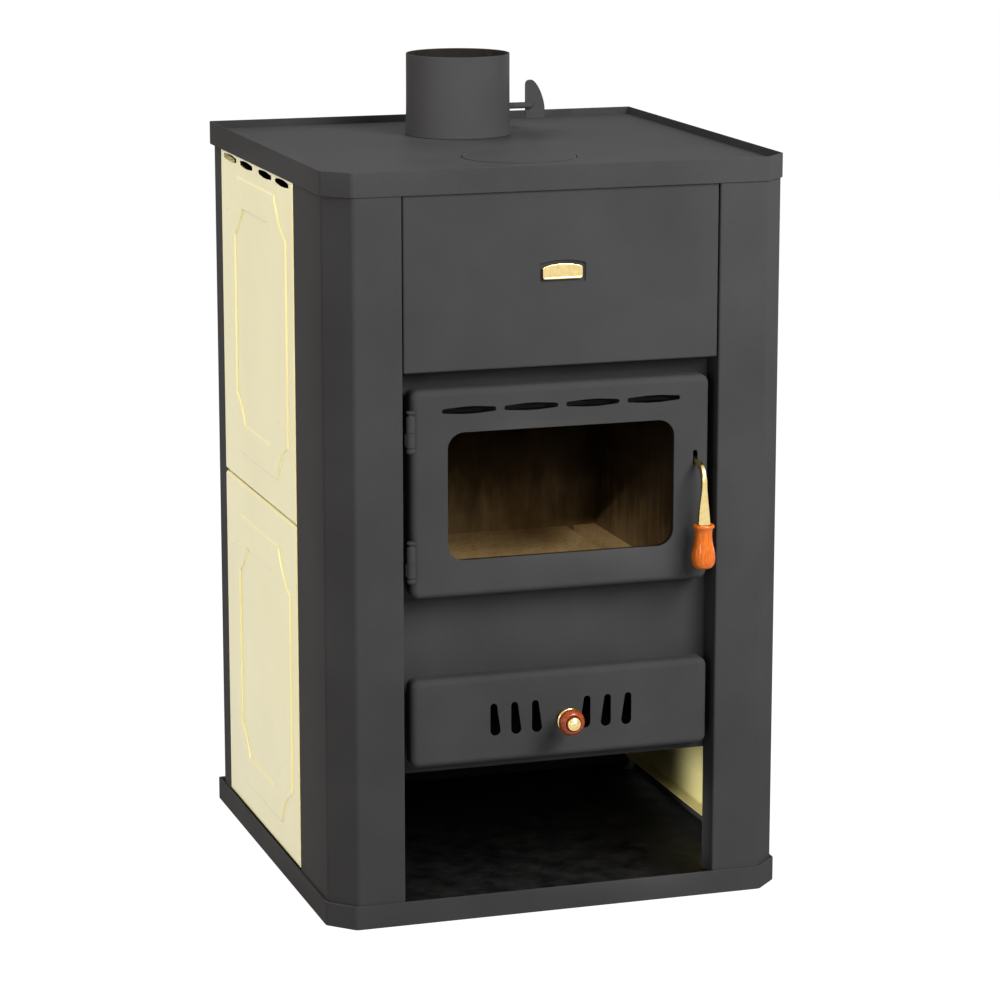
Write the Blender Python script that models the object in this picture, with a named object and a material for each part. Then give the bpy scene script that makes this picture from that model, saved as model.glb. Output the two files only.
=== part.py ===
# Wood stove with boiler: a steel cabinet with enamelled side panels round a
# water-jacketed firebox. Metres, +Z up, the front faces -Y, the floor is Z = 0.
# The origin is the middle of the base tray's underside.

import bmesh
import bpy
from math import atan2, cos, hypot, pi, sin, tan
from mathutils import Matrix, Vector

# Fits
seat_gap = 0.0003            # between pieces that touch
run_gap = 0.0004             # round pins that turn

# Cabinet
stove_width = 0.570          # across the lid band
stove_depth = 0.570          # lid band, front to back
stove_height = 0.902         # floor to the rim's top edge
corner_chamfer = 0.030       # 45 degree front corners
corner_bend = 0.008          # outside bend radius of those corners
sharp_bend = 0.0025          # outside bend radius of folded edges
inward_bend = 0.0004         # face radius in a fold's hollow
lid_sheet = 0.0015
lid_band_height = 0.029
base_sheet = 0.003
base_band_height = 0.029
body_sheet = 0.0015
rear_overhang = 0.016        # lid beyond the back panel
base_rear_reach = 0.004      # base tray beyond the lid at the back

# Front columns and rear posts
column_side = 0.156          # column's side face, with its corner
post_side = 0.035            # rear post's side face
post_rear = 0.040            # rear post's flange under the back panel
landing_width = 0.016        # flange that a side panel sits on
door_side_gap = 0.010        # column to door
recess_depth = 0.038         # column face to boiler front plate
return_flange = 0.014        # column flange on the boiler front plate

# Side panels, pressed pans
panel_depth = 0.020
panel_sheet = 0.0012
panel_roll = 0.0035
panel_slit = 0.0006          # between panel and column
panel_joint = 0.4585         # height of the joint of two panels
panel_joint_slit = 0.0012
panel_bottom = 0.028
relief_side_margin = 0.032
relief_end_margin = 0.040
relief_band_side = 0.043
relief_band_end = 0.037
scoop_width = 0.054
scoop_height = 0.049
scoop_hollow = 0.0075        # depth of the concave corner from its chord
inner_scoop_width = 0.041
inner_scoop_height = 0.037
inner_scoop_hollow = 0.0036
relief_height = 0.0018
relief_slope = 0.0032
lower_relief_lift = -0.003     # of the lower panels' relief from their middle
scoop_steps = 6

# Ventilation slots, one punch for the panels and the door
vent_length = 0.066
vent_middle = 0.0088
vent_end = 0.0050
panel_vent_drop = 0.0068     # below the lid band
panel_vent_inner = 0.047
panel_vent_outer = 0.129

# Lid and hob
hob_drop = 0.0094            # hob plate below the rim
hob_thickness = 0.005
cooking_hole_radius = 0.069
cooking_lid_lip = 0.006
cooking_lid_skin = 0.0025
cooking_hole_back = 0.1675   # from the lid's front
flue_back = 0.416            # from the lid's front
flue_radius = 0.0652         # outside, at the mouth
flue_flare = 0.0018          # wider at the foot
flue_wall = 0.002
flue_height = 0.1018         # above the hob plate
flue_spigot_wall = 0.002

# Damper in the flue
damper_rise = 0.033          # spindle above the hob plate
damper_radius = 0.058
damper_thickness = 0.002
spindle_radius = 0.004
spindle_reach = 0.031        # beyond the collar's foot
bearing_wall = 0.0027
bearing_length = 0.0055
key_width = 0.026
key_above = 0.0315
key_below = 0.0175
key_thickness = 0.0025
key_tip_radius = 0.006       # at its top left
key_fullness = 0.75          # of its right side's curve
key_overlap = 0.007          # of the spindle's end on the key

# Heights of the front
store_height = 0.176         # floor to the boiler front plate's lower edge
drawer_rise = 0.015          # drawer front above that edge
drawer_height = 0.107
drawer_to_door = 0.098
door_height = 0.249
door_to_panel = 0.021

# Boiler
plate_thickness = 0.006
plate_lap = 0.010            # plate behind the column flange
shell_wall = 0.004
liner_wall = 0.005
liner_side_gap = 0.006       # firebox wall beyond its mouth
liner_depth = 0.290
water_side = 0.041
water_back = 0.160
water_top = 0.055
smoke_box_height = 0.085
smoke_box_wall = 0.003
firebox_height = 0.355       # above the grate shelf
neck_half = 0.125
neck_front = 0.020
neck_depth = 0.110
neck_wall = 0.004
ceiling_sheet = 0.0015
shell_lift = 0.0145          # boiler above the plate's lower edge
liner_floor_lift = 0.024     # ash floor above the plate's lower edge
shelf_lift = 0.208           # grate shelf above the plate's lower edge
shelf_thickness = 0.004
board_thickness = 0.010
board_strip_width = 0.030    # raised land of the shelf beside the board
board_side_gap = 0.009       # board to that land
board_strip_height = 0.002
grate_half = 0.060
grate_length = 0.118
grate_start = 0.018          # behind the boiler front plate
grate_slots = 6
grate_slot_width = 0.007
grate_rim = 0.010
baffle_thickness = 0.006
baffle_length = 0.190
baffle_rise = 0.030
baffle_height = 0.275        # rear edge above the grate shelf
socket_radius = 0.021
socket_bore = 0.0152
socket_spacing = 0.240
socket_drop = 0.040
socket_rise = 0.045
socket_stand_out = 0.024
back_screw_radius = 0.0045

# Fire door
door_set_back = 0.0018       # behind the column face
door_sheet = 0.002
door_depth = 0.024
door_roll = 0.008
door_corner = 0.011
window_width = 0.281
window_height = 0.153
window_rise = 0.0445
window_corner = 0.020
door_vent_rise = 0.2235
door_vent_pitch = 0.0762
glass_thickness = 0.004
glass_lap = 0.003            # on the seal frame
seal_frame_side = 0.0115     # frame beyond the window, each side
seal_frame_end = 0.0075      # frame beyond the window, top and bottom
seal_frame_width = 0.011
seal_frame_wall = 0.0016
seal_frame_web = 0.016       # channel depth on the glass side
rope_diameter = 0.008
rope_proud = 0.0055
mouth_margin = 0.001         # firebox mouth beyond the frame's inside

# Hinges
hinge_barrel_radius = 0.0052
hinge_out = 0.0018           # axis in front of the column face
hinge_side = 0.0015          # axis beside the door's edge
hinge_from_end = 0.047       # hinge's middle from the door's end
hinge_barrel = 0.037
hinge_pin_radius = 0.003
hinge_pin_length = 0.014
hinge_leaf = 0.0022
door_leaf_reach = 0.021
finial_neck = 0.0038
finial_disc = 0.0028
finial_disc_lap = 0.0003     # disc beyond the barrel
finial_groove = 0.0012
finial_ball = 0.0062

# Latch
latch_clearance = 0.0007     # bracket to seal frame
latch_inset = 0.0175         # from the door's free edge
latch_rise = 0.1455          # pivot above the door's lower edge
latch_slot_width = 0.0056
latch_slot_above = 0.0135
latch_slot_below = 0.0045
pivot_behind = 0.0086        # behind the door sheet
pivot_radius = 0.0025
tab_thickness = 0.004
hook_thickness = 0.0026
ear_thickness = 0.0015
ear_above = 0.008            # the pivot
ear_below = 0.0125           # the pivot
lever_out = 0.0306           # lever's stem in front of the door
lever_drop = 0.0712          # pivot to the grip's top
lever_tail = 0.005           # behind the pivot
lever_eye_height = 0.010
lever_tab_height = 0.008
lever_bend_width = 0.0060
lever_bend_thickness = 0.0092
lever_neck_width = 0.0074
lever_neck_thickness = 0.0068
lever_foot_width = 0.0156
lever_foot_thickness = 0.0104
grip_length = 0.054
grip_radius = 0.0143
tang_radius = 0.003
tang_length = 0.034
keeper_behind = 0.014        # keeper bar behind the pivot
keeper_bar_radius = 0.0025
keeper_above = 0.0105        # keeper bar above the pivot

# Ash drawer
drawer_side_gap = 0.009
drawer_set_back = 0.0012
drawer_depth = 0.022
drawer_sheet = 0.0015
drawer_roll = 0.008
drawer_corner = 0.010
drawer_slot_height = 0.039
drawer_slot_wide = 0.0120
drawer_slot_narrow = 0.0076
drawer_slot_first = 0.0315
drawer_slot_pitch = 0.026
tray_side_gap = 0.011        # tray to firebox wall
tray_length = 0.315
tray_height = 0.078
tray_sheet = 0.0012
runner_width = 0.012
runner_height = 0.003
knob_stem_radius = 0.0035
knob_washer_radius = 0.0065
knob_flange_radius = 0.0115
knob_ring_radius = 0.016
knob_cap_radius = 0.0086
knob_stem_length = 0.029
knob_flange = 0.003
knob_ring_length = 0.014
knob_cap_length = 0.010
knob_drop = 0.001            # below the drawer front's middle

# Upper front panel and badge
panel_side_gap = 0.0012      # to the columns
badge_width = 0.049
badge_height = 0.018
badge_arch = 0.0035
badge_thickness = 0.0016
badge_recess_margin = 0.004
badge_recess_depth = 0.0008
badge_drop = 0.110           # centre below the upper panel's top

# Places worked out from the sizes
front = -stove_depth / 2
body_half = stove_width / 2 - lid_sheet - seat_gap
body_front = front + lid_sheet + seat_gap
body_rear = stove_depth / 2 - rear_overhang
seal_inner_half = window_width / 2 + seal_frame_side
bracket_side = tab_thickness / 2 + seat_gap + ear_thickness
latch_x = seal_inner_half + seal_frame_width + latch_clearance + bracket_side
door_half = latch_x + latch_inset
opening_half = door_half + door_side_gap
liner_half = seal_inner_half + mouth_margin + liner_side_gap
tray_half = liner_half - tray_side_gap
board_strip_start = liner_half - board_strip_width
board_half = board_strip_start - board_side_gap
plate_front = body_front + recess_depth
plate_back = plate_front + plate_thickness
panel_front = body_front + column_side
panel_rear = body_rear - post_side
post_back = body_rear - body_sheet - seat_gap
lid_bottom = stove_height - lid_band_height
hob_top = stove_height - hob_drop
hob_under = hob_top - hob_thickness
body_top = hob_under - seat_gap
stand = base_sheet + seat_gap
drawer_bottom = store_height + drawer_rise
drawer_top = drawer_bottom + drawer_height
door_bottom = drawer_top + drawer_to_door
door_top = door_bottom + door_height
upper_bottom = door_top + door_to_panel
shell_bottom = store_height + shell_lift
ash_floor = store_height + liner_floor_lift
shelf_top = store_height + shelf_lift
shelf_under = shelf_top - shelf_thickness
liner_top = shelf_top + firebox_height
shell_half = liner_half + liner_wall + water_side + shell_wall
boiler_front = plate_back + seat_gap
liner_back = boiler_front + liner_depth
shell_back = liner_back + liner_wall + water_back + shell_wall
shell_top = min(liner_top + liner_wall + water_top + shell_wall, body_top - smoke_box_height)
flue_y = front + flue_back
hob_hole_radius = flue_radius - flue_wall + 0.001
damper_z = hob_top + damper_rise
door_face = body_front + door_set_back
door_inner = door_face + door_sheet
window_bottom = door_bottom + window_rise
window_middle = window_bottom + window_height / 2
glass_front = door_inner + seat_gap
glass_back = glass_front + glass_thickness
seal_inner_high = window_height / 2 + seal_frame_end
seal_front = glass_back + seat_gap
seal_back = plate_front - rope_proud
hinge_x = -door_half - hinge_side
hinge_y = body_front - hinge_out
latch_z = door_bottom + latch_rise
latch_y = door_inner + pivot_behind
drawer_half = opening_half - drawer_side_gap
drawer_face = body_front + drawer_set_back
knob_z = drawer_bottom + drawer_height / 2 - knob_drop


# Outlines and paths

def bent_path(corners, radii, closed=False, steps=4):
    # Points along a line with round bends, each with its unit left normal.
    count = len(corners)
    path = []
    for i in range(count):
        here = Vector(corners[i])
        if not closed and i in (0, count - 1):
            other = Vector(corners[1] if i == 0 else corners[-2])
            along = (other - here if i == 0 else here - other).normalized()
            path.append((here, Vector((-along.y, along.x))))
            continue
        into = (here - Vector(corners[i - 1])).normalized()
        out = (Vector(corners[(i + 1) % count]) - here).normalized()
        turn = atan2(into.x * out.y - into.y * out.x, into.dot(out))
        left = Vector((-into.y, into.x))
        centre = here - into * radii[i] * tan(abs(turn) / 2)
        centre += left * radii[i] * (1 if turn > 0 else -1)
        for k in range(steps + 1):
            angle = turn * k / steps
            normal = Matrix.Rotation(angle, 2) @ left
            path.append((centre - normal * radii[i] * (1 if turn > 0 else -1), normal))
    return path


def beside(path, distance):
    return [point + normal * distance for point, normal in path]


def sheet_outline(corners, radii, thickness):
    # A folded sheet's cross-section: the face along the corners, the back to its left.
    path = bent_path(corners, radii)
    return beside(path, 0) + beside(path, thickness)[::-1]


def rounded_rect(half_wide, half_high, radius, inset=0.0, steps=4):
    # A closed outline, its corners rounded about the same centres at any inset.
    bend = max(radius - inset, 0.0004)
    wide, high = half_wide - inset, half_high - inset
    points = []
    for corner in range(4):
        sign_u = 1 if corner in (0, 3) else -1
        sign_v = 1 if corner in (0, 1) else -1
        for k in range(steps + 1):
            angle = (corner + k / steps) * pi / 2
            points.append(Vector((sign_u * (wide - bend) + bend * cos(angle),
                                  sign_v * (high - bend) + bend * sin(angle))))
    return points


def circle(radius, count):
    return [Vector((radius * cos(2 * pi * k / count), radius * sin(2 * pi * k / count)))
            for k in range(count)]


def scooped_rect(half_wide, half_high, wide, high, hollow):
    # A rectangle whose corners are concave arcs, counter-clockwise from the upper right.
    chord = hypot(wide, high)
    radius = (chord ** 2 / 4 + hollow ** 2) / (2 * hollow)
    spread = atan2(chord / 2, radius - hollow)
    middle = Vector((half_wide - wide / 2, half_high - high / 2))
    outward = Vector((high, wide)).normalized()
    centre = middle + outward * (radius - hollow)
    heading = atan2(-outward.y, -outward.x)
    corner = []
    for k in range(scoop_steps + 1):
        angle = heading + spread * (1 - 2 * k / scoop_steps)
        corner.append(centre + Vector((cos(angle), sin(angle))) * radius)
    corner.sort(key=lambda point: point.y)
    points = list(corner)
    points += [Vector((-p.x, p.y)) for p in corner[::-1]]
    points += [Vector((-p.x, -p.y)) for p in corner]
    points += [Vector((p.x, -p.y)) for p in corner[::-1]]
    return points


def rect_for_scoops(half_wide, half_high, wide, high):
    # A plain rectangle with the same number of points, walked round the same corners.
    corner = []
    for k in range(scoop_steps + 1):
        share = 2 * k / scoop_steps
        up = half_high - high * max(1 - share, 0)
        across = half_wide - wide * max(share - 1, 0)
        corner.append(Vector((across, up)))
    points = list(corner)
    points += [Vector((-p.x, p.y)) for p in corner[::-1]]
    points += [Vector((-p.x, -p.y)) for p in corner]
    points += [Vector((p.x, -p.y)) for p in corner[::-1]]
    return points


def vent_outline(across, up):
    # A slot with round ends that swells towards its middle.
    end, middle, reach = vent_end / 2, vent_middle / 2, vent_length / 2
    right = [Vector((reach - end + end * cos(a), end * sin(a)))
             for a in (-pi / 2, -pi / 4, 0, pi / 4, pi / 2)]
    flat = vent_length / 8
    top = [Vector((flat, middle)), Vector((-flat, middle))]
    half = right + top
    return [Vector((across, up)) + p for p in half + [-p for p in half]]


def drawer_slot_outline(across, up, side):
    # A tapered slot, wide at the bottom, its inner edge upright.
    wide, narrow = drawer_slot_wide / 2, drawer_slot_narrow / 2
    half = drawer_slot_height / 2
    lean = side * (wide - narrow) * 0.5
    points = []
    for k in range(7):
        angle = k * pi / 6
        points.append(Vector((lean + narrow * cos(angle), half - narrow + narrow * sin(angle))))
    for k in range(7):
        angle = pi + k * pi / 6
        points.append(Vector((-lean + wide * cos(angle), -half + wide + wide * sin(angle))))
    return [Vector((across, up)) + p for p in points]


def arched_outline(width, height, arch, steps=8):
    # A plate with a straight foot and a shallow arched top.
    half = width / 2
    low = -height / 2
    shoulder = height / 2 - arch
    points = [Vector((-half, low)), Vector((half, low))]
    for k in range(steps + 1):
        share = 1 - 2 * k / steps
        points.append(Vector((half * share, shoulder + arch * (1 - share ** 2))))
    return points


def on_x(points, x):
    return [Vector((x, p.x, p.y)) for p in points]


def on_y(points, y, z=0.0):
    return [Vector((p.x, y, p.y + z)) for p in points]


def on_z(points, z, x=0.0, y=0.0):
    return [Vector((p.x + x, p.y + y, z)) for p in points]


# Solids, added to a mesh that is being built

def add_loft(mesh, rings, closed=False):
    # Rings of equal length joined in turn, capped at both ends unless they close.
    loops = [[mesh.verts.new(point) for point in ring] for ring in rings]
    pairs = list(zip(loops, loops[1:]))
    if closed:
        pairs.append((loops[-1], loops[0]))
    for a, b in pairs:
        for i in range(len(a)):
            j = (i + 1) % len(a)
            mesh.faces.new((a[i], a[j], b[j], b[i]))
    if not closed:
        mesh.faces.new(loops[0][::-1])
        mesh.faces.new(loops[-1])


def add_box(mesh, low, high):
    corners = [Vector((low[0], low[1])), Vector((high[0], low[1])),
               Vector((high[0], high[1])), Vector((low[0], high[1]))]
    add_loft(mesh, [on_z(corners, low[2]), on_z(corners, high[2])])


def add_turned(mesh, profile, place, axis="Z", count=24, closed=False):
    # A profile of (radius, distance along the axis) turned round the axis.
    rings = []
    for radius, along in profile:
        ring = circle(radius, count)
        if axis == "Z":
            rings.append([Vector((place[0] + p.x, place[1] + p.y, place[2] + along)) for p in ring])
        elif axis == "Y":
            rings.append([Vector((place[0] + p.x, place[1] + along, place[2] + p.y)) for p in ring])
        else:
            rings.append([Vector((place[0] + along, place[1] + p.x, place[2] + p.y)) for p in ring])
    add_loft(mesh, rings, closed)


def add_sweep(mesh, path, section, y_base, z_base=0.0):
    # A section of (outward, backward) points carried round a closed upright path.
    rings = []
    for point, normal in path:
        rings.append([Vector((point.x - normal.x * out, y_base + back, point.y - normal.y * out + z_base))
                      for out, back in section])
    add_loft(mesh, rings, closed=True)


def add_pan(mesh, half_wide, half_high, corner, roll, depth, sheet, y, z):
    # A pressed sheet: a flat face, rolled edges and a flange going back.
    rings = []
    for k in range(4):
        angle = k / 3 * pi / 2
        rings.append((roll * (1 - sin(angle)), roll * (1 - cos(angle))))
    rings.append((0.0, depth))
    rings.append((sheet, depth))
    inner = roll - sheet
    for k in range(4):
        angle = (1 - k / 3) * pi / 2
        rings.append((roll - inner * sin(angle), roll - inner * cos(angle)))
    loops = [on_y(rounded_rect(half_wide, half_high, corner, inset), y + back, z)
             for inset, back in rings]
    add_loft(mesh, loops)


# Objects

def material(name, colour, roughness, metallic=0.0):
    made = bpy.data.materials.new(name)
    made.use_nodes = True
    shader = made.node_tree.nodes["Principled BSDF"]
    shader.inputs["Base Color"].default_value = (*colour, 1.0)
    shader.inputs["Roughness"].default_value = roughness
    shader.inputs["Metallic"].default_value = metallic
    made.diffuse_color = (*colour, 1.0)
    return made


def piece(name, mesh, colouring, carrier=None, smooth=False):
    # Turns a finished mesh into a named object, riding on its joint's empty if it moves.
    bmesh.ops.recalc_face_normals(mesh, faces=mesh.faces)
    data = bpy.data.meshes.new(name)
    mesh.to_mesh(data)
    mesh.free()
    made = bpy.data.objects.new(name, data)
    bpy.context.scene.collection.objects.link(made)
    data.materials.append(colouring)
    if smooth:
        data.shade_smooth()
        data.set_sharp_from_angle(angle=0.6)
    if carrier:
        made.parent = carrier
        made.matrix_parent_inverse = Matrix.Translation(carrier.location).inverted()
    return made


def joint(name, place):
    # An empty on a joint's axis, which carries the pieces that move with it.
    made = bpy.data.objects.new(name, None)
    made.empty_display_size = 0.02
    made.location = place
    bpy.context.scene.collection.objects.link(made)
    return made


def combine(target, mesh, operation):
    # Cuts a mesh out of a piece, or joins it on, with a hidden helper object.
    helper = piece(target.name + "_" + operation.lower(), mesh, target.data.materials[0], target.parent)
    helper.hide_render = True
    helper.display_type = "WIRE"
    step = target.modifiers.new(operation.title(), "BOOLEAN")
    step.operation = operation
    step.solver = "EXACT"
    step.object = helper


def cut(target, mesh):
    combine(target, mesh, "DIFFERENCE")


def join(target, mesh):
    combine(target, mesh, "UNION")


# Cabinet

def cabinet_outline(grow, rear, chamfer=corner_chamfer):
    # The plan of lid and base: chamfered at the front, square at the back.
    half = stove_width / 2 + grow
    low = front - grow
    corners = [(half, low + chamfer), (half, rear), (-half, rear), (-half, low + chamfer),
               (-half + chamfer, low), (half - chamfer, low)]
    radii = [corner_bend, sharp_bend, sharp_bend, corner_bend, corner_bend, corner_bend]
    return bent_path(corners, radii, closed=True)


def base_tray(steel):
    grow = base_sheet - lid_sheet
    outline = cabinet_outline(grow, stove_depth / 2 + base_rear_reach)
    outer = beside(outline, 0)
    inner = beside(outline, base_sheet)
    mesh = bmesh.new()
    add_loft(mesh, [on_z(outer, 0), on_z(outer, base_band_height),
                    on_z(inner, base_band_height), on_z(inner, base_sheet)])
    piece("base_tray", mesh, steel)


def front_columns(steel):
    chamfer = corner_chamfer
    landing = body_half - panel_depth
    corners = [(-landing, panel_front + landing_width), (-landing, panel_front),
               (-body_half, panel_front), (-body_half, body_front + chamfer),
               (-body_half + chamfer, body_front), (-opening_half, body_front),
               (-opening_half, plate_front - seat_gap),
               (-opening_half - return_flange, plate_front - seat_gap)]
    radii = [0, inward_bend, sharp_bend, corner_bend, corner_bend, sharp_bend, sharp_bend, 0]
    left = sheet_outline(corners, radii, body_sheet)
    for side, outline in (("left", left), ("right", [Vector((-p.x, p.y)) for p in left])):
        mesh = bmesh.new()
        add_loft(mesh, [on_z(outline, stand), on_z(outline, body_top)])
        piece("front_column_" + side, mesh, steel)


def rear_posts(steel):
    landing = body_half - panel_depth
    corners = [(-body_half + post_rear, post_back), (-body_half, post_back),
               (-body_half, panel_rear), (-landing, panel_rear),
               (-landing, panel_rear - landing_width)]
    radii = [0, sharp_bend, sharp_bend, inward_bend, 0]
    left = sheet_outline(corners, radii, body_sheet)
    for side, outline in (("left", left), ("right", [Vector((-p.x, p.y)) for p in left])):
        mesh = bmesh.new()
        add_loft(mesh, [on_z(outline, stand), on_z(outline, body_top)])
        piece("rear_post_" + side, mesh, steel)


def side_panel(name, side, low, high, lift, vented, enamel):
    # A pan with a raised band between two scooped outlines. Local u runs back, v up.
    half_wide = (panel_rear - panel_front) / 2 - panel_slit
    half_high = (high - low) / 2
    centre = Vector(((panel_rear + panel_front) / 2, (high + low) / 2))
    outer = (half_wide - relief_side_margin, half_high - relief_end_margin)
    inner = (outer[0] - relief_band_side, outer[1] - relief_band_end)
    up = Vector((0, lift))
    slope = relief_slope / 2
    depth = panel_depth - seat_gap
    face = []
    for grow, height in ((-slope, 0.0), (slope, relief_height)):
        face.append((scooped_rect(inner[0] + grow, inner[1] + grow, inner_scoop_width,
                                  inner_scoop_height, inner_scoop_hollow), height))
    for grow, height in ((-slope, relief_height), (slope, 0.0)):
        face.append((scooped_rect(outer[0] + grow, outer[1] + grow, scoop_width,
                                  scoop_height, scoop_hollow), height))
    face = [([p + up for p in points], height) for points, height in face]
    reach = scoop_width + relief_side_margin
    rise = scoop_height + relief_end_margin
    for k in range(4):
        angle = k / 3 * pi / 2
        inset = panel_roll * (1 - sin(angle))
        sink = panel_roll * (1 - cos(angle))
        face.append((rect_for_scoops(half_wide - inset, half_high - inset, reach, rise), -sink))
    face.append((rect_for_scoops(half_wide, half_high, reach, rise), -depth))
    back = []
    for points, height in face[:4]:
        back.append((points, height - panel_sheet))
    inner_roll = panel_roll - panel_sheet
    for k in range(4):
        angle = k / 3 * pi / 2
        inset = panel_roll - inner_roll * sin(angle)
        sink = panel_roll - inner_roll * cos(angle)
        back.append((rect_for_scoops(half_wide - inset, half_high - inset, reach, rise), -sink))
    back.append((rect_for_scoops(half_wide - panel_sheet, half_high - panel_sheet, reach, rise), -depth))
    rings = [on_x([p + centre for p in points], side * (body_half + height))
             for points, height in face + back[::-1]]
    mesh = bmesh.new()
    add_loft(mesh, rings)
    made = piece(name, mesh, enamel)
    if vented:
        slots = bmesh.new()
        level = lid_bottom - panel_vent_drop
        for offset in (-panel_vent_outer, -panel_vent_inner, panel_vent_inner, panel_vent_outer):
            outline = vent_outline(centre.x + offset, level)
            add_loft(slots, [on_x(outline, side * (body_half - panel_depth / 2)),
                             on_x(outline, side * (body_half + panel_depth / 2))])
        cut(made, slots)


def side_panels(enamel):
    lower_top = panel_joint - panel_joint_slit / 2
    upper_bottom_edge = panel_joint + panel_joint_slit / 2
    for name, side in (("left", -1), ("right", 1)):
        side_panel("side_panel_upper_" + name, side, upper_bottom_edge, body_top, 0, True, enamel)
        side_panel("side_panel_lower_" + name, side, panel_bottom, lower_top, lower_relief_lift, False,
                   enamel)


def back_panel(steel, zinc):
    mesh = bmesh.new()
    half = body_half - body_sheet
    add_box(mesh, (-half, body_rear - body_sheet, stand), (half, body_rear, body_top))
    made = piece("back_panel", mesh, steel)
    holes = bmesh.new()
    for x, z in sockets():
        add_turned(holes, [(socket_radius + 0.001, -0.01), (socket_radius + 0.001, 0.01)],
                   (x, body_rear, z), "Y")
    cut(made, holes)
    low, high = stand + 0.06, body_top - 0.06
    r = back_screw_radius
    for name, side in (("left", -1), ("right", 1)):
        for row in range(3):
            z = low + (high - low) * row / 2
            mesh = bmesh.new()
            add_turned(mesh, [(r, 0), (r, r * 0.25), (r * 0.7, r * 0.5), (r * 0.3, r * 0.58)],
                       (side * (body_half - post_rear / 2), body_rear + seat_gap, z), "Y", count=10)
            piece("back_screw_" + name + "_" + str(row + 1), mesh, zinc)


# Boiler and firebox

def sockets():
    return ((socket_spacing / 2, shell_top - shell_wall - socket_drop),
            (-socket_spacing / 2, shell_bottom + shell_wall + socket_rise))


def open_box(mesh, low, high, wall):
    # A box that is open at the front, with walls on its other five sides.
    def frame(inset, y):
        left, right = low[0] + inset, high[0] - inset
        bottom, top = low[2] + inset, high[2] - inset
        corners = [Vector((left, bottom)), Vector((right, bottom)), Vector((right, top)), Vector((left, top))]
        return on_y(corners, y)
    add_loft(mesh, [frame(0, high[1]), frame(0, low[1]), frame(wall, low[1]), frame(wall, high[1] - wall)])


def boiler(steel, raw):
    mesh = bmesh.new()
    open_box(mesh, (-shell_half, boiler_front, shell_bottom), (shell_half, shell_back, shell_top), shell_wall)
    shell = piece("boiler_shell", mesh, raw)
    liner_bottom = shell_bottom + shell_wall + seat_gap
    outer = liner_half + liner_wall
    mesh = bmesh.new()
    open_box(mesh, (-outer, boiler_front, liner_bottom),
             (outer, liner_back + liner_wall, liner_top + liner_wall), liner_wall)
    liner = piece("firebox_liner", mesh, raw)
    neck_low = boiler_front + neck_front
    neck_high = neck_low + neck_depth
    hole = bmesh.new()
    grow = seat_gap
    add_box(hole, (-neck_half - grow, neck_low - grow, shell_top - 2 * shell_wall),
            (neck_half + grow, neck_high + grow, shell_top + shell_wall))
    for x, z in sockets():
        add_turned(hole, [(socket_radius + seat_gap, -0.02), (socket_radius + seat_gap, 0.02)],
                   (x, shell_back, z), "Y")
    cut(shell, hole)
    hole = bmesh.new()
    inside = neck_half - neck_wall
    add_box(hole, (-inside, neck_low + neck_wall, liner_top - liner_wall),
            (inside, neck_high - neck_wall, liner_top + 2 * liner_wall))
    cut(liner, hole)
    join(liner, drawer_runners())
    neck = bmesh.new()
    foot, top = liner_top + liner_wall + seat_gap, shell_top + neck_wall
    add_box(neck, (-neck_half, neck_low, foot), (neck_half, neck_high, top))
    made = piece("smoke_neck", neck, raw)
    hole = bmesh.new()
    add_box(hole, (-inside, neck_low + neck_wall, foot - 0.01), (inside, neck_high - neck_wall, top + 0.01))
    cut(made, hole)
    for name, (x, z) in zip(("flow_socket", "return_socket"), sockets()):
        mesh = bmesh.new()
        start = shell_back - shell_wall
        length = body_rear + socket_stand_out - start
        lip = 0.0012
        add_turned(mesh, [(socket_bore, 0), (socket_radius, 0), (socket_radius, length - lip),
                          (socket_radius - lip, length), (socket_bore + lip, length),
                          (socket_bore, length - lip)], (x, start, z), "Y", closed=True)
        piece(name, mesh, raw)


def front_plate(steel):
    half = opening_half + plate_lap
    mesh = bmesh.new()
    add_box(mesh, (-half, plate_front, store_height), (half, plate_back, body_top))
    made = piece("boiler_front_plate", mesh, steel)
    holes = bmesh.new()
    mouth = rounded_rect(seal_inner_half + mouth_margin, seal_inner_high + mouth_margin, window_corner)
    add_loft(holes, [on_y(mouth, plate_front - 0.01, window_middle),
                     on_y(mouth, plate_back + 0.01, window_middle)])
    add_box(holes, (-tray_half - 0.003, plate_front - 0.01, ash_floor),
            (tray_half + 0.003, plate_back + 0.01, ash_floor + runner_height + tray_height + 0.005))
    cut(made, holes)


def smoke_box(raw):
    wall = smoke_box_wall
    half = shell_half - wall
    low, high = boiler_front + 0.001, shell_back - wall
    mesh = bmesh.new()
    base, top = shell_top + seat_gap, body_top
    add_box(mesh, (-half, low, base), (half, high, top))
    made = piece("smoke_box", mesh, raw)
    hole = bmesh.new()
    add_box(hole, (-half + wall, low + wall, base - 0.01), (half - wall, high - wall, top + 0.01))
    cut(made, hole)


def store_ceiling(steel):
    half = body_half - panel_depth - body_sheet - seat_gap
    top = shell_bottom - seat_gap
    mesh = bmesh.new()
    add_box(mesh, (-half, plate_back + seat_gap, top - ceiling_sheet),
            (half, post_back - body_sheet - seat_gap, top))
    piece("wood_store_ceiling", mesh, steel)


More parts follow.
